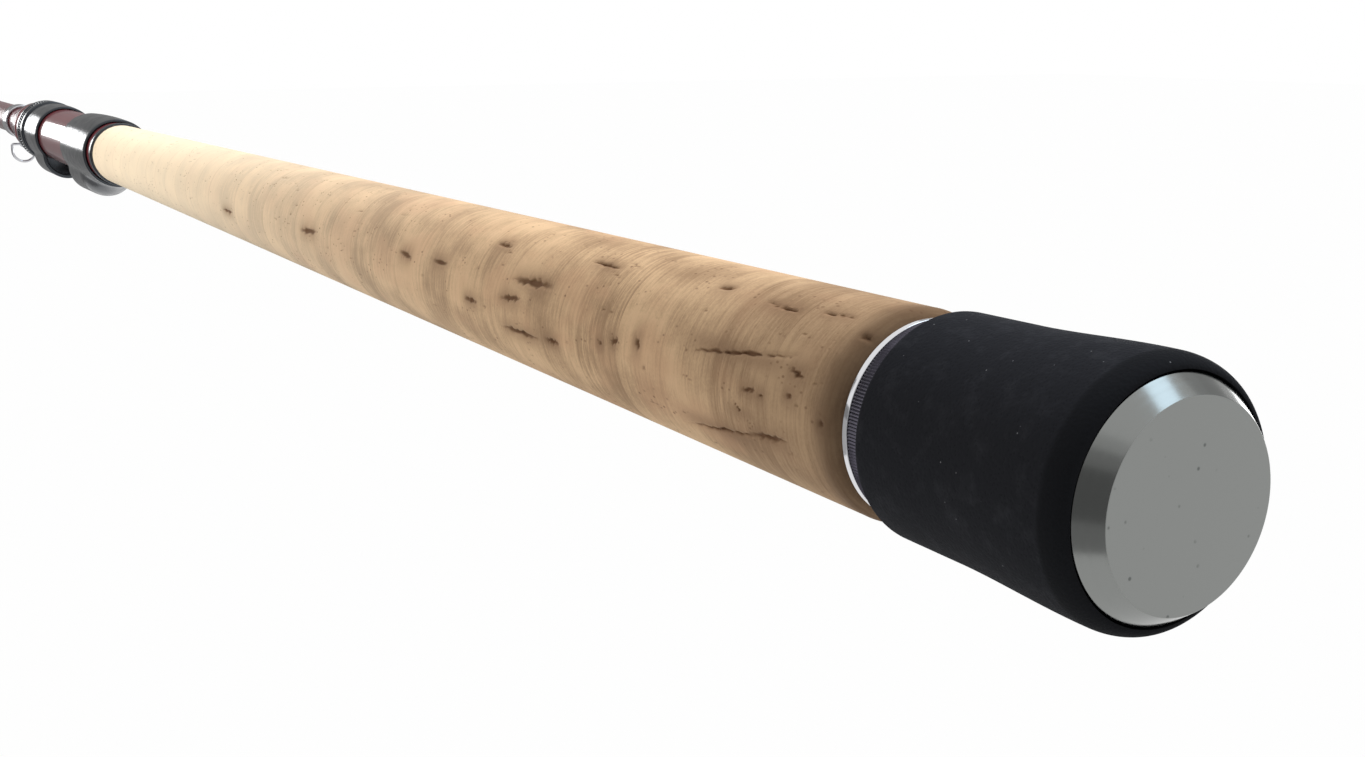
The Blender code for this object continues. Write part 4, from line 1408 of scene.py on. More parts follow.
@dataclass
class ReelSeat:
    """Reel seat: checks, threaded barrel with its deck, two hoods and the lock nut."""

    check_play: float = 0.2 * MM
    check_round: float = 0.5 * MM
    check_bore: float = 7.1 * MM
    cone_flat: float = 2.0 * MM
    cone_radius: float = 7.3 * MM
    cone_bore: float = 6.75 * MM
    cone_rounds: tuple[float, float, float] = (0.4 * MM, 0.9 * MM, 0.2 * MM)
    barrel_radius: float = 10.5 * MM
    barrel_bore: float = 8.0 * MM
    barrel_edge: float = 0.3 * MM
    barrel_play: tuple[float, float] = (0.2 * MM, 0.1 * MM)
    deck_height: float = 9.2 * MM
    deck_length: float = 54.0 * MM
    deck_ends: tuple[float, float] = (50.0 * MM, -72.0 * MM)
    deck_edge: float = 0.2 * MM
    step_depth: float = 0.3 * MM
    thread_pitch: float = 2.0 * MM
    thread_depth: float = 0.5 * MM
    thread_lead: float = 16.0 * MM
    thread_margin: float = 3.7 * MM
    thread_rows: int = 8
    flank_slope: float = 1.6
    crest_share: float = 0.3
    hood_play: float = 0.12 * MM
    hood_wall: float = 1.38 * MM
    crown: float = 0.35 * MM
    edge_round: float = 0.45 * MM
    bulge_sink: float = 0.5 * MM
    join_round: float = 0.5 * MM
    hood_rows: int = 28
    first_row: float = 0.04
    hood_segments: int = 216
    mouth_chamfer: float = 0.25 * MM
    bulge_radius: float = 9.2 * MM
    bulge_end_radius: float = 4.4 * MM
    bulge_wall: float = 1.4 * MM
    pocket_depth: float = 21.0 * MM
    nut_play: float = 0.05 * MM
    nut_round: float = 0.5 * MM
    groove_half: float = 1.0 * MM
    groove_depth: float = 0.6 * MM
    groove_round: float = 0.15 * MM
    band_margin: float = 1.1 * MM
    nut_teeth: int = 72
    nut_tooth_depth: float = 0.35 * MM
    nut_tooth_crest: float = 1.5
    flats_per_tooth: int = 6
    segments: int = 160

    def build(self) -> None:
        """Make the seat from the cork to the blank, and recoat its hidden arbors."""
        self.make_checks()
        self.make_barrel()
        self.make_hood("fixed_hood", Body.BUTT)
        self.make_hood("moving_hood", Body.HOOD)
        self.make_nut()
        for arbor in ("seat_arbor_rear", "seat_arbor_fore"):
            recoat(arbor, FIBRE)

    def make_checks(self) -> None:
        """Turn the two winding checks: a straight ring, and a cone that ends the seat."""
        back, front = span("rear_winding_check")
        profile = tube_outline(
            (back + self.check_play, front - self.check_play),
            outer_radius("rear_winding_check"), self.check_bore,
            (self.check_round, self.check_round), Step.FINE,
        )
        check = turned("rear_winding_check_ring", profile, self.segments)
        dress(check, GUNMETAL, "gunmetal", Body.BUTT, "rear_winding_check")
        back, front = span("fore_winding_check")
        radius = outer_radius("fore_winding_check")
        start = back + self.check_play
        edge, shoulder, tip = self.cone_rounds
        profile = eased((
            (start, radius, edge), (back - self.cone_flat, radius, shoulder),
            (front, self.cone_radius, tip), (front, self.cone_bore, 0.0),
            (start, self.cone_bore, 0.0),
        ), Step.FINE)
        check = turned("fore_winding_check_cone", profile, self.segments)
        dress(check, GUNMETAL, "gunmetal", Body.BUTT, "fore_winding_check")

    def make_barrel(self) -> None:
        """Turn the barrel, cut its real helical thread and plane its deck."""
        back, front = span("reel_seat_barrel")
        start, end = back + self.barrel_play[0], front - self.barrel_play[1]
        nut_start, _ = span("lock_nut")
        thread_start = nut_start + self.thread_lead
        thread_end = front + self.thread_margin
        plain = eased((
            (start, self.barrel_bore, 0.0),
            (start, self.barrel_radius, self.barrel_edge),
            (thread_start, self.barrel_radius, 0.0),
        ), closed=False)
        ending = eased((
            (thread_end, self.barrel_radius, 0.0),
            (end, self.barrel_radius, self.barrel_edge),
            (end, self.barrel_bore, 0.0),
        ), closed=False)
        rings = np.arange(thread_start, thread_end, -self.thread_pitch / self.thread_rows)
        middle = self.deck_length / 2
        deck_start, deck_end = self.deck_ends

        def shape(x: Array, angle: Array, size: Array) -> Array:
            """Cut the thread between its ends, and the flat deck below.

            Args:
                x: Places along the barrel.
                angle: Angles from the top.
                size: Radii of the plain barrel.

            Returns:
                Radii of the finished barrel.
            """
            turns = x / self.thread_pitch + angle / math.tau
            ridge = np.abs(turns % 1 - 0.5) * 2
            flank = np.clip(self.flank_slope * ridge - self.crest_share, 0, 1)
            outside = size > self.barrel_bore
            threaded = (x < thread_start) & (x > thread_end) & outside
            size = np.where(threaded, size - self.thread_depth * flank, size)
            # Beside and above the axis a ray never meets the deck, so its length is left huge.
            below = np.maximum(-np.cos(angle), 0.001)
            raised = np.abs(x) < middle
            height = np.where(raised, self.deck_height, self.deck_height - self.step_depth)
            decked = (x < deck_start) & (x > deck_end) & (size > self.barrel_bore)
            return np.where(decked, np.minimum(size, height / below), size)

        extra = [
            place + side
            for place in (deck_start, middle, -middle) for side in (self.deck_edge, -self.deck_edge)
        ]
        places = [x for x in extra if x > thread_start] + rings.tolist()
        profile = plain[:-1] + [(x, self.barrel_radius) for x in places] + ending
        barrel = turned("reel_seat_barrel_turned", profile, self.segments, reshape=shape)
        dress(barrel, LACQUER, "burgundy_lacquer", Body.BUTT, "reel_seat_barrel")

    def make_hood(self, node: str, body: Body) -> None:
        """Mould one hood: a crowned sleeve, the bulge over the reel foot and its open pocket.

        Args:
            node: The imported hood.
            body: The body that the hood rides on.
        """
        ends = span(node)
        closed_end, mouth = ends if body is Body.BUTT else ends[::-1]
        inward = math.copysign(1, closed_end - mouth)
        bore = self.barrel_radius + self.hood_play
        rim = bore + self.hood_wall - self.crown
        drop = bore + self.hood_wall - self.bulge_end_radius
        low = self.bulge_end_radius - self.bulge_sink
        pocket_end = mouth + inward * self.pocket_depth
        shoulder = pocket_end + inward * self.bulge_wall
        rows = np.linspace(self.first_row, 1 - self.first_row, self.hood_rows)
        x, radius = np.array(eased((
            (closed_end, 0.0, 0.0), (closed_end, rim, self.edge_round),
            *((closed_end + (mouth - closed_end) * row, rim, 0.0) for row in rows),
            (mouth, rim, self.edge_round), (mouth, 0.0, 0.0),
        ), Step.FINE, closed=False)[1:-1]).T
        along = np.clip((x - closed_end) / (shoulder - closed_end), 0, 1)
        swell = (self.bulge_radius - low) * smooth(along)
        from_middle = (x - (closed_end + mouth) / 2) / ((mouth - closed_end) / 2)
        outside = np.stack((
            x, radius + self.crown * (1 - from_middle ** 2), low + swell - (rim - radius),
        ), axis=1)
        pocket = self.bulge_radius - self.bulge_wall
        flare = self.mouth_chamfer
        inside = (
            (mouth, bore + flare, pocket + flare), (mouth + inward * flare, bore, pocket),
            (pocket_end, bore, pocket), (pocket_end, bore, 0.0),
            (closed_end - inward * flare, bore, 0.0), (closed_end, bore + flare, 0.0),
        )
        form = np.concatenate((outside, inside))
        if body is not Body.BUTT:
            form = form[::-1]

        def widest(x: Array, angle: Array, size: Array) -> Array:
            """Take the further out of sleeve and bulge, with a soft join between them.

            Args:
                x: Places along the hood, which the form's rows follow already.
                angle: Angles from the top.
                size: The sleeve's radii.

            Returns:
                The hood's radii.
            """
            bulge = np.repeat(form[:, 2], self.hood_segments)
            side = np.sqrt(np.maximum(bulge ** 2 - (drop * np.sin(angle)) ** 2, 0))
            further = side - drop * np.cos(angle) - size
            share = np.clip(0.5 + further / (2 * self.join_round), 0, 1)
            return size + further * share + self.join_round * share * (1 - share)

        name = f"{node}_shell"
        hood = turned(name, form[:, :2].tolist(), self.hood_segments, reshape=widest)
        weld(hood.data)
        dress(hood, GUNMETAL, "gunmetal", body, node)

    def make_nut(self) -> None:
        """Turn the lock nut with two grooves and straight finger teeth between them."""
        back, front = span("lock_nut")
        radius = outer_radius("lock_nut")
        bore = self.barrel_radius + self.hood_play
        start = back - self.nut_play
        length = back - front
        floor = radius - self.groove_depth
        half = self.groove_half
        corners: list[Corner] = [(start, radius, self.nut_round)]
        for third in (1, 2):
            groove = back - length * third / 3
            corners += [
                (groove + side, size, self.groove_round)
                for side, size in ((half, radius), (half, floor), (-half, floor), (-half, radius))
            ]
        corners += [(front, radius, self.nut_round), (front, bore, 0.0), (start, bore, 0.0)]
        middle = (back + front) / 2

        def teeth(x: Array, angle: Array, size: Array) -> Array:
            """Cut finger teeth into the band between the grooves.

            Args:
                x: Places along the nut.
                angle: Angles from the top.
                size: Radii before the teeth.

            Returns:
                Radii with the teeth.
            """
            wave = np.clip(np.cos(angle * self.nut_teeth) * self.nut_tooth_crest, 0, 1)
            band = np.abs(x - middle) < length / 6 - self.band_margin
            outside = size > radius - self.groove_depth / 2
            return np.where(band & outside, size - self.nut_tooth_depth * wave, size)

        flats = self.nut_teeth * self.flats_per_tooth
        nut = turned("lock_nut_ring", eased(corners), flats, reshape=teeth)
        dress(nut, GUNMETAL, "gunmetal", Body.NUT, "lock_nut")


@dataclass
class HookKeeper:
    """The small band with an ear on the butt blank, and the wire loop that swings in it."""

    wire_radius: float = 0.6 * MM
    loop_radius: float = 5.0 * MM
    loop_side: float = 3.0 * MM
    loop_corner: float = 0.5 * MM
    loop_rows: int = 24
    band_wall: float = 0.8 * MM
    band_round: float = 0.3 * MM
    bore_round: float = 0.1 * MM
    ear_width: float = 3.0 * MM
    ear_round: float = 1.5 * MM
    ear_sink: float = 0.3 * MM
    ear_rows: int = 12
    hole_radius: float = 1.0 * MM
    segments: int = 96

    def build(self) -> None:
        """Make the band with its ear, and the loop."""
        self.make_band()
        self.make_loop()

    def make_band(self) -> None:
        """Turn the band, braze the ear on and drill it for the loop."""
        low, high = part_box("keeper_band")
        radius = high.z
        bore = radius - self.band_wall
        band = turned("keeper_band_bent", eased((
            (high.x, radius, self.band_round), (low.x, radius, self.band_round),
            (low.x, bore, self.bore_round), (high.x, bore, self.bore_round),
        )), self.segments)
        half = self.ear_width / 2
        middle = (low.x + high.x) / 2
        top = self.ear_sink - radius
        outline = [(half, top)]
        for turn in np.linspace(0, math.pi, self.ear_rows + 1):
            outline.append((
                half * math.cos(turn), low.z + self.ear_round * (1 - math.sin(turn)),
            ))
        outline.append((-half, top))
        combine(band, plate("ear", outline, middle + half, middle - half), Cut.JOIN)
        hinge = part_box("keeper_loop")[1].z - self.wire_radius
        ends = middle + self.ear_width, middle - self.ear_width
        drill = turned("drill", [
            (ends[0], 0.0), (ends[0], self.hole_radius), (ends[1], self.hole_radius),
            (ends[1], 0.0),
        ], self.segments // 2, closed=False, height=hinge)
        combine(band, drill, Cut.AWAY)
        dress(band, WIRE, "guide_steel", Body.BUTT, "keeper_band")

    def make_loop(self) -> None:
        """Bend the loop's wire through the ear."""
        low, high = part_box("keeper_loop")
        middle = (low.x + high.x) / 2
        hinge = high.z - self.wire_radius
        corner = self.loop_corner
        outline = [
            (self.loop_radius - corner, 0.0), (corner - self.loop_radius, 0.0),
            (-self.loop_radius, -corner),
        ]
        for turn in np.linspace(0, math.pi, self.loop_rows + 1):
            outline.append((
                -self.loop_radius * math.cos(turn),
                -self.loop_side - self.loop_radius * math.sin(turn),
            ))
        outline.append((self.loop_radius, -corner))
        points = [Vector((middle, y, hinge + z)) for y, z in outline]
        loop = wire("keeper_loop_wire", points, self.wire_radius, closed=True)
        dress(loop, WIRE, "guide_steel", Body.KEEPER, "keeper_loop")


@dataclass
class Blanks:
    """The three hollow carbon sections and the solid quiver tip."""

    segments: int = 72
    wall: float = 1.0 * MM
    end_round: float = 0.2 * MM
    end_reach: float = 0.1 * MM
    sections: tuple[tuple[str, Body], ...] = (
        ("butt_blank", Body.BUTT), ("mid_blank", Body.MID), ("tip_blank", Body.TIP),
    )

    def build(self) -> None:
        """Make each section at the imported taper."""
        for node, body in self.sections:
            back, front = span(node)
            start, end = self.end_radii(node)
            profile = eased((
                (back, start, self.end_round), (front, end, self.end_round),
                (front, end - self.wall, 0.0), (back, start - self.wall, 0.0),
            ))
            blank = turned(f"{node}_lacquered", profile, self.segments)
            dress(blank, LACQUER, "burgundy_lacquer", body, node)
        back, front = span("quiver_tip")
        start, end = self.end_radii("quiver_tip")
        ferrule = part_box("tip_blank")[0].x
        tip = turned("quiver_tip_painted", [
            (back, 0.0), (back, start), (ferrule, start), (front, end), (front, 0.0),
        ], self.segments // 2, closed=False)
        dress(tip, QUIVER_PAINT, "quiver_orange", Body.QUIVER, "quiver_tip")

    def end_radii(self, node: str) -> tuple[float, float]:
        """Radii of a packed section at its butt end and its tip end.

        Args:
            node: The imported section.

        Returns:
            The outer radius at each end.
        """
        radii = [0.0, 0.0]
        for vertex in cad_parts[node].data.vertices:
            size = math.hypot(vertex.co.y, vertex.co.z)
            for index, x in enumerate(span(node)):
                if abs(vertex.co.x - x) < self.end_reach:
                    radii[index] = max(radii[index], size)
        return radii[0], radii[1]


@dataclass
class Guides:
    """Line guides: ceramic rings in wire frames, and the whippings that hold their feet."""

    ring_steps: int = 48
    ring_sides: int = 16
    ring_seat: float = 0.04 * MM
    packed_flats: int = 16
    frame_play: float = 0.3 * MM
    loop_steps: int = 40
    bend_radii: float = 4.0
    foot_gap: float = 0.15 * MM
    foot_radii: float = 18.0
    least_foot: float = 8.0 * MM
    tip_foot: float = 12.0 * MM
    least_leg_share: float = 0.05
    whipping_wall: float = 0.4 * MM
    whipping_rows: int = 31
    quiver_thread: float = 0.2 * MM
    quiver_wall: float = 0.05 * MM
    quiver_whipping: float = 7.5 * MM
    toe_cover: float = 1.5 * MM
    wall_share: float = 0.3
    ridge_spread: float = 1.18
    ridge_power: int = 6
    end_height: float = 0.35
    end_power: int = 14
    trim_place: float = 0.1
    trim_half: float = 0.03
    tube_bore: float = 0.8 * MM
    tube_edge: float = 0.2 * MM
    braze_half: float = 1.05 * MM
    braze_top: float = 0.95 * MM
    braze_reach: float = 0.3 * MM
    segments: int = 96
    groups: tuple[tuple[str, int, Body], ...] = (
        ("butt_guide", 0, Body.BUTT),
        ("mid_guide", 3, Body.MID),
        ("tip_guide", 3, Body.TIP),
        ("quiver_guide", 3, Body.QUIVER),
    )
    sockets: tuple[tuple[str, Body], ...] = (
        ("mid_socket_wrap", Body.MID),
        ("tip_socket_wrap", Body.TIP),
        ("quiver_socket_wrap", Body.TIP),
    )

    def build(self) -> None:
        """Make every guide, the tip ring and the whippings at the sockets."""
        for group, count, body in self.groups:
            names = [f"{group}_{index + 1}" for index in range(count)] or [group]
            for name in names:
                self.make_guide(name, body)
        self.make_ring("tip_top_ring", "tip_top_frame", Body.QUIVER)
        self.make_frame("tip_top_frame", "tip_top_ring", Body.QUIVER)
        self.make_tip_tube()
        for node, body in self.sockets:
            self.make_whipping(node, body)

    def make_guide(self, name: str, body: Body) -> None:
        """Make one guide with its frame, brace and whippings, where the frame has them.

        Args:
            name: Name that the guide's nodes start with.
            body: The body that it rides on.
        """
        ring = f"{name}_ring"
        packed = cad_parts
        self.make_ring(ring, f"{name}_frame", body)
        for part in ("frame", "brace"):
            node = f"{name}_{part}"
            if node in packed:
                self.make_frame(node, ring, body)
            if f"{node}_wrap" in packed:
                self.make_whipping(f"{node}_wrap", body, node, ring)
            elif body is Body.QUIVER and node in packed:
                self.make_quiver_whipping(node, ring)

    def wire_radius(self, frame_node: str, ring: str) -> float:
        """Radius of a frame's wire, from the room that its loop leaves round the ring.

        Args:
            frame_node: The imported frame.
            ring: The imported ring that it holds.

        Returns:
            The radius of the wire.
        """
        loop_inside = outer_radius(ring) / math.cos(math.pi / self.packed_flats)
        return (outer_radius(frame_node) - loop_inside - self.frame_play) / 2

    def make_ring(self, node: str, frame_node: str, body: Body) -> None:
        """Turn a ceramic ring with a rounded section that sits tight in its frame.

        Args:
            node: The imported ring.
            frame_node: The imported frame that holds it.
            body: The body that it rides on.
        """
        low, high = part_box(node)
        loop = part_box(frame_node)[1].y - 2 * self.wire_radius(frame_node, node)
        thickness = (high.x - low.x) / 2
        inner = high.y - 2 * thickness
        outer = max(high.y, loop + self.ring_seat)
        middle, half = (inner + outer) / 2, (outer - inner) / 2
        centre = (low.x + high.x) / 2
        profile = [
            (centre + thickness * math.cos(turn), middle + half * math.sin(turn))
            for turn in np.linspace(0, math.tau, self.ring_sides, endpoint=False)
        ]
        ring = turned(f"{node}_ceramic", profile, self.ring_steps, height=(low.z + high.z) / 2)
        dress(ring, CERAMIC, "guide_ceramic", body, node)

    def make_frame(self, node: str, ring: str, body: Body) -> None:
        """Bend a guide's wire from its foot, round under the ring and back.

        Args:
            node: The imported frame.
            ring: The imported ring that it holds.
            body: The body that it rides on.
        """
        low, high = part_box(node)
        ring_low, ring_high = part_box(ring)
        wire_radius = self.wire_radius(node, ring)
        loop_radius = (high.y - low.y) / 2 - wire_radius
        centre = (ring_low + ring_high) / 2
        foot_z = high.z - wire_radius
        forward = high.x - centre.x > centre.x - low.x
        loop_x = low.x + wire_radius if forward else high.x - wire_radius
        far = high.x if forward else low.x
        spread = wire_radius + self.foot_gap
        height = foot_z - centre.z
        reach = math.hypot(spread, height)
        leave = math.atan2(height, spread) - math.acos(loop_radius / reach)
        foot = self.tip_foot
        if not node.startswith("tip_top"):
            foot = max(self.foot_radii * wire_radius, self.least_foot)
        leg_share = max(self.least_leg_share, 1 - foot / abs(far - loop_x))
        near = loop_x + (far - loop_x) * leg_share
        leg = [Vector((x, spread, foot_z)) for x in (far, near)]
        arc = []
        for step in range(self.loop_steps + 1):
            turn = leave - (math.pi + 2 * leave) * step / self.loop_steps
            y, z = loop_radius * math.cos(turn), loop_radius * math.sin(turn)
            arc.append(Vector((loop_x, y, centre.z + z)))
        back = [Vector((point.x, -point.y, point.z)) for point in reversed(leg)]
        # The points next to the loop's ends give way to the bends into the legs.
        path = leg + arc[:1] + arc[3:-3] + arc[-1:] + back
        piece = wire(f"{node}_wire", bent(path, self.bend_radii * wire_radius), wire_radius)
        dress(piece, WIRE, "guide_steel", body, node)

    def make_whipping(self, node: str, body: Body, foot: str = "", ring: str = "") -> None:
        """Wind a whipping: thread over the blank, raised over a foot, with trim near its ends.

        Args:
            node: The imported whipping.
            body: The body that it rides on.
            foot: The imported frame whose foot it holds, if any.
            ring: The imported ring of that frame.
        """
        back, front = span(node)
        low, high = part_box(node)
        if not foot:
            self.wind(f"{node}_thread", (back, front), (high.z, high.z), 1.0, body, node)
            return
        foot_back, foot_front = span(foot)
        if foot_back - back < front - foot_front:
            back = foot_back + self.toe_cover
        else:
            front = foot_front - self.toe_cover
        half = self.ridge_half(foot, ring)
        self.wind(f"{node}_thread", (back, front), (high.z, -low.z), half, body, node)

    def make_quiver_whipping(self, frame_node: str, ring: str) -> None:
        """Wind the fine whipping over a quiver guide's foot.

        Args:
            frame_node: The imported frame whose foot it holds.
            ring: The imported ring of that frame.
        """
        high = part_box(frame_node)[1]
        top = -high.z - self.quiver_wall
        bottom = -high.z + 2 * self.wire_radius(frame_node, ring) + self.quiver_thread
        ends = (high.x + self.toe_cover, high.x - self.quiver_whipping)
        half = self.ridge_half(frame_node, ring)
        self.wind(f"{frame_node}_thread", ends, (top, bottom), half, Body.QUIVER)

    def ridge_half(self, foot: str, ring: str) -> float:
        """Half the angle that the two wires of a foot take up under the whipping.

        Args:
            foot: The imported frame.
            ring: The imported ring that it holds.

        Returns:
            The angle in radians, with the thread's own thickness.
        """
        radius = self.wire_radius(foot, ring)
        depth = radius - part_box(foot)[1].z
        return math.atan2(2 * radius + self.foot_gap, depth) * self.ridge_spread

    def wind(
        self, name: str, ends: tuple[float, float], radii: tuple[float, float], half: float,
        body: Body, *nodes: str,
    ) -> None:
        """Turn a whipping with softened ends and a ridge below for the foot.

        Args:
            name: Name of the piece.
            ends: x of its butt end and of its tip end.
            radii: Its radius above and at its sides, and below, over the foot.
            half: Half the angle that the ridge takes up, in radians.
            body: The body that it rides on.
            nodes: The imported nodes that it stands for.
        """
        back, front = ends
        top, bottom = radii
        bore = top - min(self.whipping_wall, top * self.wall_share)
        rows = np.linspace(0, 1, self.whipping_rows)
        outside = [(back + (front - back) * row, top) for row in rows]

        def ridge(x: Array, angle: Array, size: Array) -> Array:
            """Round the ends and lift the thread over the foot.

            Args:
                x: Places along the whipping.
                angle: Angles from the top.
                size: Radii of the plain whipping.

            Returns:
                Radii with the rounded ends and the ridge.
            """
            row = (back - x) / (back - front)
            end = np.sqrt(np.clip(1 - np.abs(row * 2 - 1) ** self.end_power, 0, 1))
            lift = np.exp(-((angle - math.pi) / half) ** self.ridge_power) * (bottom - top)
            full_share = self.end_height + (1 - self.end_height) * end
            return np.where(size > bore, bore + (top - bore) * full_share + lift * end, size)

        profile = outside + [(front, bore), (back, bore)]
        piece = turned(name, profile, self.segments, reshape=ridge)
        row = np.array([(back - vertex.co.x) / (back - front) for vertex in piece.data.vertices])
        from_end = np.minimum(row, 1 - row)
        trim = np.abs(from_end - self.trim_place) < self.trim_half
        mark(piece, "trim", trim)
        dress(piece, WHIPPING, "whipping_thread", body, *nodes)

    def make_tip_tube(self) -> None:
        """Turn the small tube that holds the tip ring, and braze the ring's foot to it."""
        back, front = span("tip_top_tube")
        profile = tube_outline(
            (back, front), outer_radius("tip_top_tube"), self.tube_bore,
            (self.tube_edge, self.tube_edge),
        )
        tube = turned("tip_top_tube_drawn", profile, self.segments // 2)
        wire_radius = self.wire_radius("tip_top_frame", "tip_top_ring")
        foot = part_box("tip_top_frame")[1].z - wire_radius
        side = wire_radius + self.foot_gap
        braze = plate("braze", [
            (self.braze_half, -self.braze_top), (side, foot), (-side, foot),
            (-self.braze_half, -self.braze_top),
        ], back - self.braze_reach, front + self.braze_reach)
        combine(tube, braze, Cut.JOIN)
        dress(tube, WIRE, "guide_steel", Body.QUIVER, "tip_top_tube")


@dataclass(frozen=True)
class Lamp:
    """A rectangular lamp: its light, where it stands, what it points at and if it glints."""

    name: str
    power: float
    size: tuple[float, float]
    colour: str
    place: tuple[float, float, float]
    target: tuple[float, float, float]
    glints: bool = True


@dataclass(frozen=True)
class CardColumn:
    """Cards one above another: where they hang, how wide they are, and each one's z and grey."""

    name: str
    x: float
    y: float
    width: float
    rows: tuple[tuple[float, float, float], ...]


@dataclass
class Studio:
    """Floor, lamps, reflection cards, world and camera."""

    floor_place: tuple[float, float, float] = (-1.0, 0.0, -0.8)
    floor_size: float = 40.0
    floor_colour: str = "#c8c8c6"
    floor_roughness: float = 0.9
    floor_white_share: float = 0.96
    ambient: float = 0.33
    sun_power: float = 3.7
    sun_angle_deg: float = 40.0
    sun_place: tuple[float, float, float] = (0.0, 1.0, 1.74)
    lens_mm: float = 42.84
    sensor_mm: float = 36.0
    clip: tuple[float, float] = (0.005, 100.0)
    camera_place: tuple[float, float, float] = (0.6627, -0.11286, 0.04378)
    camera_yaw_deg: float = 60.11
    camera_pitch_deg: float = -12.31
    cap_x: float = 0.56
    lamps: tuple[Lamp, ...] = (
        Lamp("sky_strip", 1.8, (0.7, 0.3), "#cfebff", (0.68, 0.39, 0.92), (0.56, 0.0, 0.0)),
        Lamp("edge_strip", 1.6, (0.8, 0.25), "#ffffff", (0.06, 0.93, -0.02), (0.56, 0.0, 0.0)),
        Lamp("window", 1.35, (0.4, 0.2), "#fff8ee", (0.06, -0.31, 0.16), (0.08, 0.0, 0.0), False),
        Lamp("spark", 1.1, (0.21, 0.21), "#ffffff", (-1.13, -0.217, 0.084), (0.05, 0.0, 0.0)),
    )
    cards: tuple[CardColumn, ...] = (
        CardColumn("near", 0.95, -0.78, 1.5, (
            (-0.78, -0.26, 0.4), (-0.26, 0.4, 0.22), (0.4, 0.7, 0.42), (0.7, 1.05, 0.75),
        )),
        CardColumn("far", 0.3, 0.85, 1.5, (
            (0.08, 0.28, 0.73), (0.28, 0.6, 0.5), (0.6, 0.95, 0.6),
        )),
        CardColumn("ring", -0.2, -0.61, 0.9, ((-0.05, 0.1, 0.25), (-0.5, -0.05, 0.45))),
        CardColumn("seat", -1.5, -0.37, 1.6, ((-0.5, 0.9, 0.3),)),
    )

    def build(self) -> None:
        """Set up the whole studio."""
        bpy.context.scene.view_settings.view_transform = "Standard"
        self.make_world()
        self.make_floor()
        self.make_lamps()
        for column in self.cards:
            for row in range(len(column.rows)):
                self.make_card(column, row)
        self.make_camera()

    def seen_share(self, tree: Tree) -> Socket:
        """Tell the rays that see the background from those that only light the rod.

        Args:
            tree: Node tree of the floor or of the world.

        Returns:
            Socket that is 1 for camera, glossy and transmission rays, and 0 for the others.
        """
        path = add_node(tree, "LightPath").node
        both = add_node(tree, "Math", {
            0: path.outputs["Is Camera Ray"], 1: path.outputs["Is Glossy Ray"],
        }, operation="MAXIMUM")
        return add_node(tree, "Math", {
            0: both, 1: path.outputs["Is Transmission Ray"],
        }, operation="MAXIMUM")

    def make_world(self) -> None:
        """White where it is seen, and an even ambient light for everything else."""
        world = bpy.data.worlds.new("studio")
        bpy.context.scene.world = world
        world.use_nodes = True
        tree = world.node_tree
        tree.nodes.clear()
        seen = self.seen_share(tree)
        strength = add_node(tree, "MapRange", {"Value": seen, "To Min": self.ambient})
        light = add_node(tree, "Background", {"Color": WHITE, "Strength": strength})
        tree.links.new(light, tree.nodes.new("ShaderNodeOutputWorld").inputs["Surface"])

    def make_floor(self) -> None:
        """A wide pale floor that reads white and keeps the rod's shadow."""
        mesh = bpy.data.meshes.new("floor")
        shape = bmesh.new()
        bmesh.ops.create_grid(shape, x_segments=1, y_segments=1, size=self.floor_size / 2)
        shape.to_mesh(mesh)
        shape.free()
        floor = add_object("floor", mesh)
        floor.location = self.floor_place
        material = bpy.data.materials.new("pale_floor")
        material.use_nodes = True
        tree = material.node_tree
        paint = tree.nodes["Principled BSDF"]
        paint.inputs["Base Color"].default_value = linear(self.floor_colour)
        paint.inputs["Roughness"].default_value = self.floor_roughness
        glow = add_node(tree, "Emission", {"Color": WHITE})
        share = add_node(tree, "Math", {
            0: self.seen_share(tree), 1: self.floor_white_share,
        }, operation="MULTIPLY")
        mixed = add_node(tree, "MixShader", {0: share, 1: paint.outputs["BSDF"], 2: glow})
        tree.links.new(mixed, tree.nodes["Material Output"].inputs["Surface"])
        floor.data.materials.append(material)

    def make_lamps(self) -> None:
        """A soft key behind and above the rod, a window along its grip, and lamps that glint."""
        sun = bpy.data.lights.new("key", "SUN")
        sun.energy = self.sun_power
        sun.angle = math.radians(self.sun_angle_deg)
        self.place_lamp(sun, self.sun_place, (0.0, 0.0, 0.0), False)
        for strip in self.lamps:
            lamp = bpy.data.lights.new(strip.name, "AREA")
            lamp.shape = "RECTANGLE"
            lamp.size, lamp.size_y = strip.size
            lamp.energy = strip.power
            lamp.color = linear(strip.colour)[:3]
            self.place_lamp(lamp, strip.place, strip.target, strip.glints)

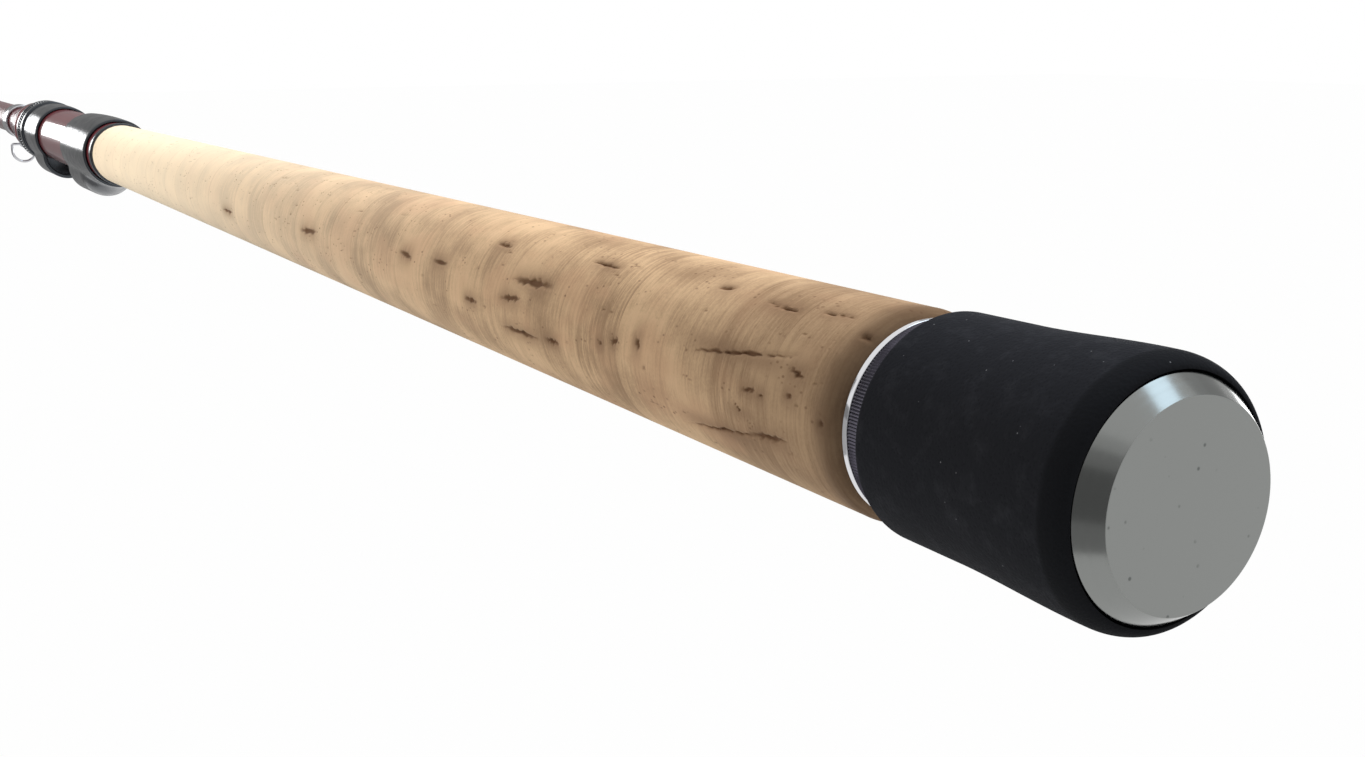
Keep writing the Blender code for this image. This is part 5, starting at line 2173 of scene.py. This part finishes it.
    def place_lamp(
        self, lamp: bpy.types.Light, place: Sequence[float], target: Sequence[float],
        glints: bool,
    ) -> None:
        """Put a lamp in the scene, aimed at a point.

        Args:
            lamp: The lamp.
            place: Where it stands.
            target: What it points at.
            glints: Whether metal and lacquer show its reflection.
        """
        holder = add_object(lamp.name, lamp)
        holder.location = place
        aim = Vector(target) - Vector(place)
        holder.rotation_euler = aim.to_track_quat("-Z", "Y").to_euler()
        holder.visible_camera = False
        holder.visible_glossy = glints

    def make_card(self, column: CardColumn, row: int) -> None:
        """Hang one upright grey card that faces the butt cap and that only reflections see.

        Args:
            column: The column of cards that it belongs to.
            row: Its number in the column, from below.
        """
        low, high, grey = column.rows[row]
        across = Vector((column.y, self.cap_x - column.x, 0.0)).normalized()
        middle = Vector((column.x, column.y, 0.0))
        corners = [
            middle + across * side * column.width / 2 + Vector((0.0, 0.0, height))
            for side, height in ((-1, low), (1, low), (1, high), (-1, high))
        ]
        name = f"{column.name}_card_{row}"
        mesh = bpy.data.meshes.new(name)
        mesh.from_pydata(corners, [], [(0, 1, 2, 3)])
        card = add_object(name, mesh)
        material = bpy.data.materials.new(name)
        material.use_nodes = True
        tree = material.node_tree
        glow = add_node(tree, "Emission", {"Color": WHITE, "Strength": grey})
        tree.links.new(glow, tree.nodes["Material Output"].inputs["Surface"])
        card.data.materials.append(material)
        card.visible_camera = False
        card.visible_diffuse = False
        card.visible_shadow = False
        card.visible_transmission = False

    def make_camera(self) -> None:
        """A camera where the photographer's was, close behind the butt."""
        lens = bpy.data.cameras.new("camera")
        lens.lens = self.lens_mm
        lens.sensor_width = self.sensor_mm
        lens.clip_start, lens.clip_end = self.clip
        camera = add_object("camera", lens)
        camera.location = self.camera_place
        camera.rotation_euler = (
            math.radians(90 + self.camera_pitch_deg), 0.0, math.radians(self.camera_yaw_deg),
        )
        bpy.context.scene.camera = camera


def main() -> None:
    """Build the studio and then the rod, from the butt to the tip."""
    logging.basicConfig(level=logging.INFO, format="%(message)s")
    Studio().build()
    for assembly in (ButtEnd(), CorkGrip(), ReelSeat(), HookKeeper(), Blanks(), Guides()):
        assembly.build()


if __name__ == "__main__":
    main()
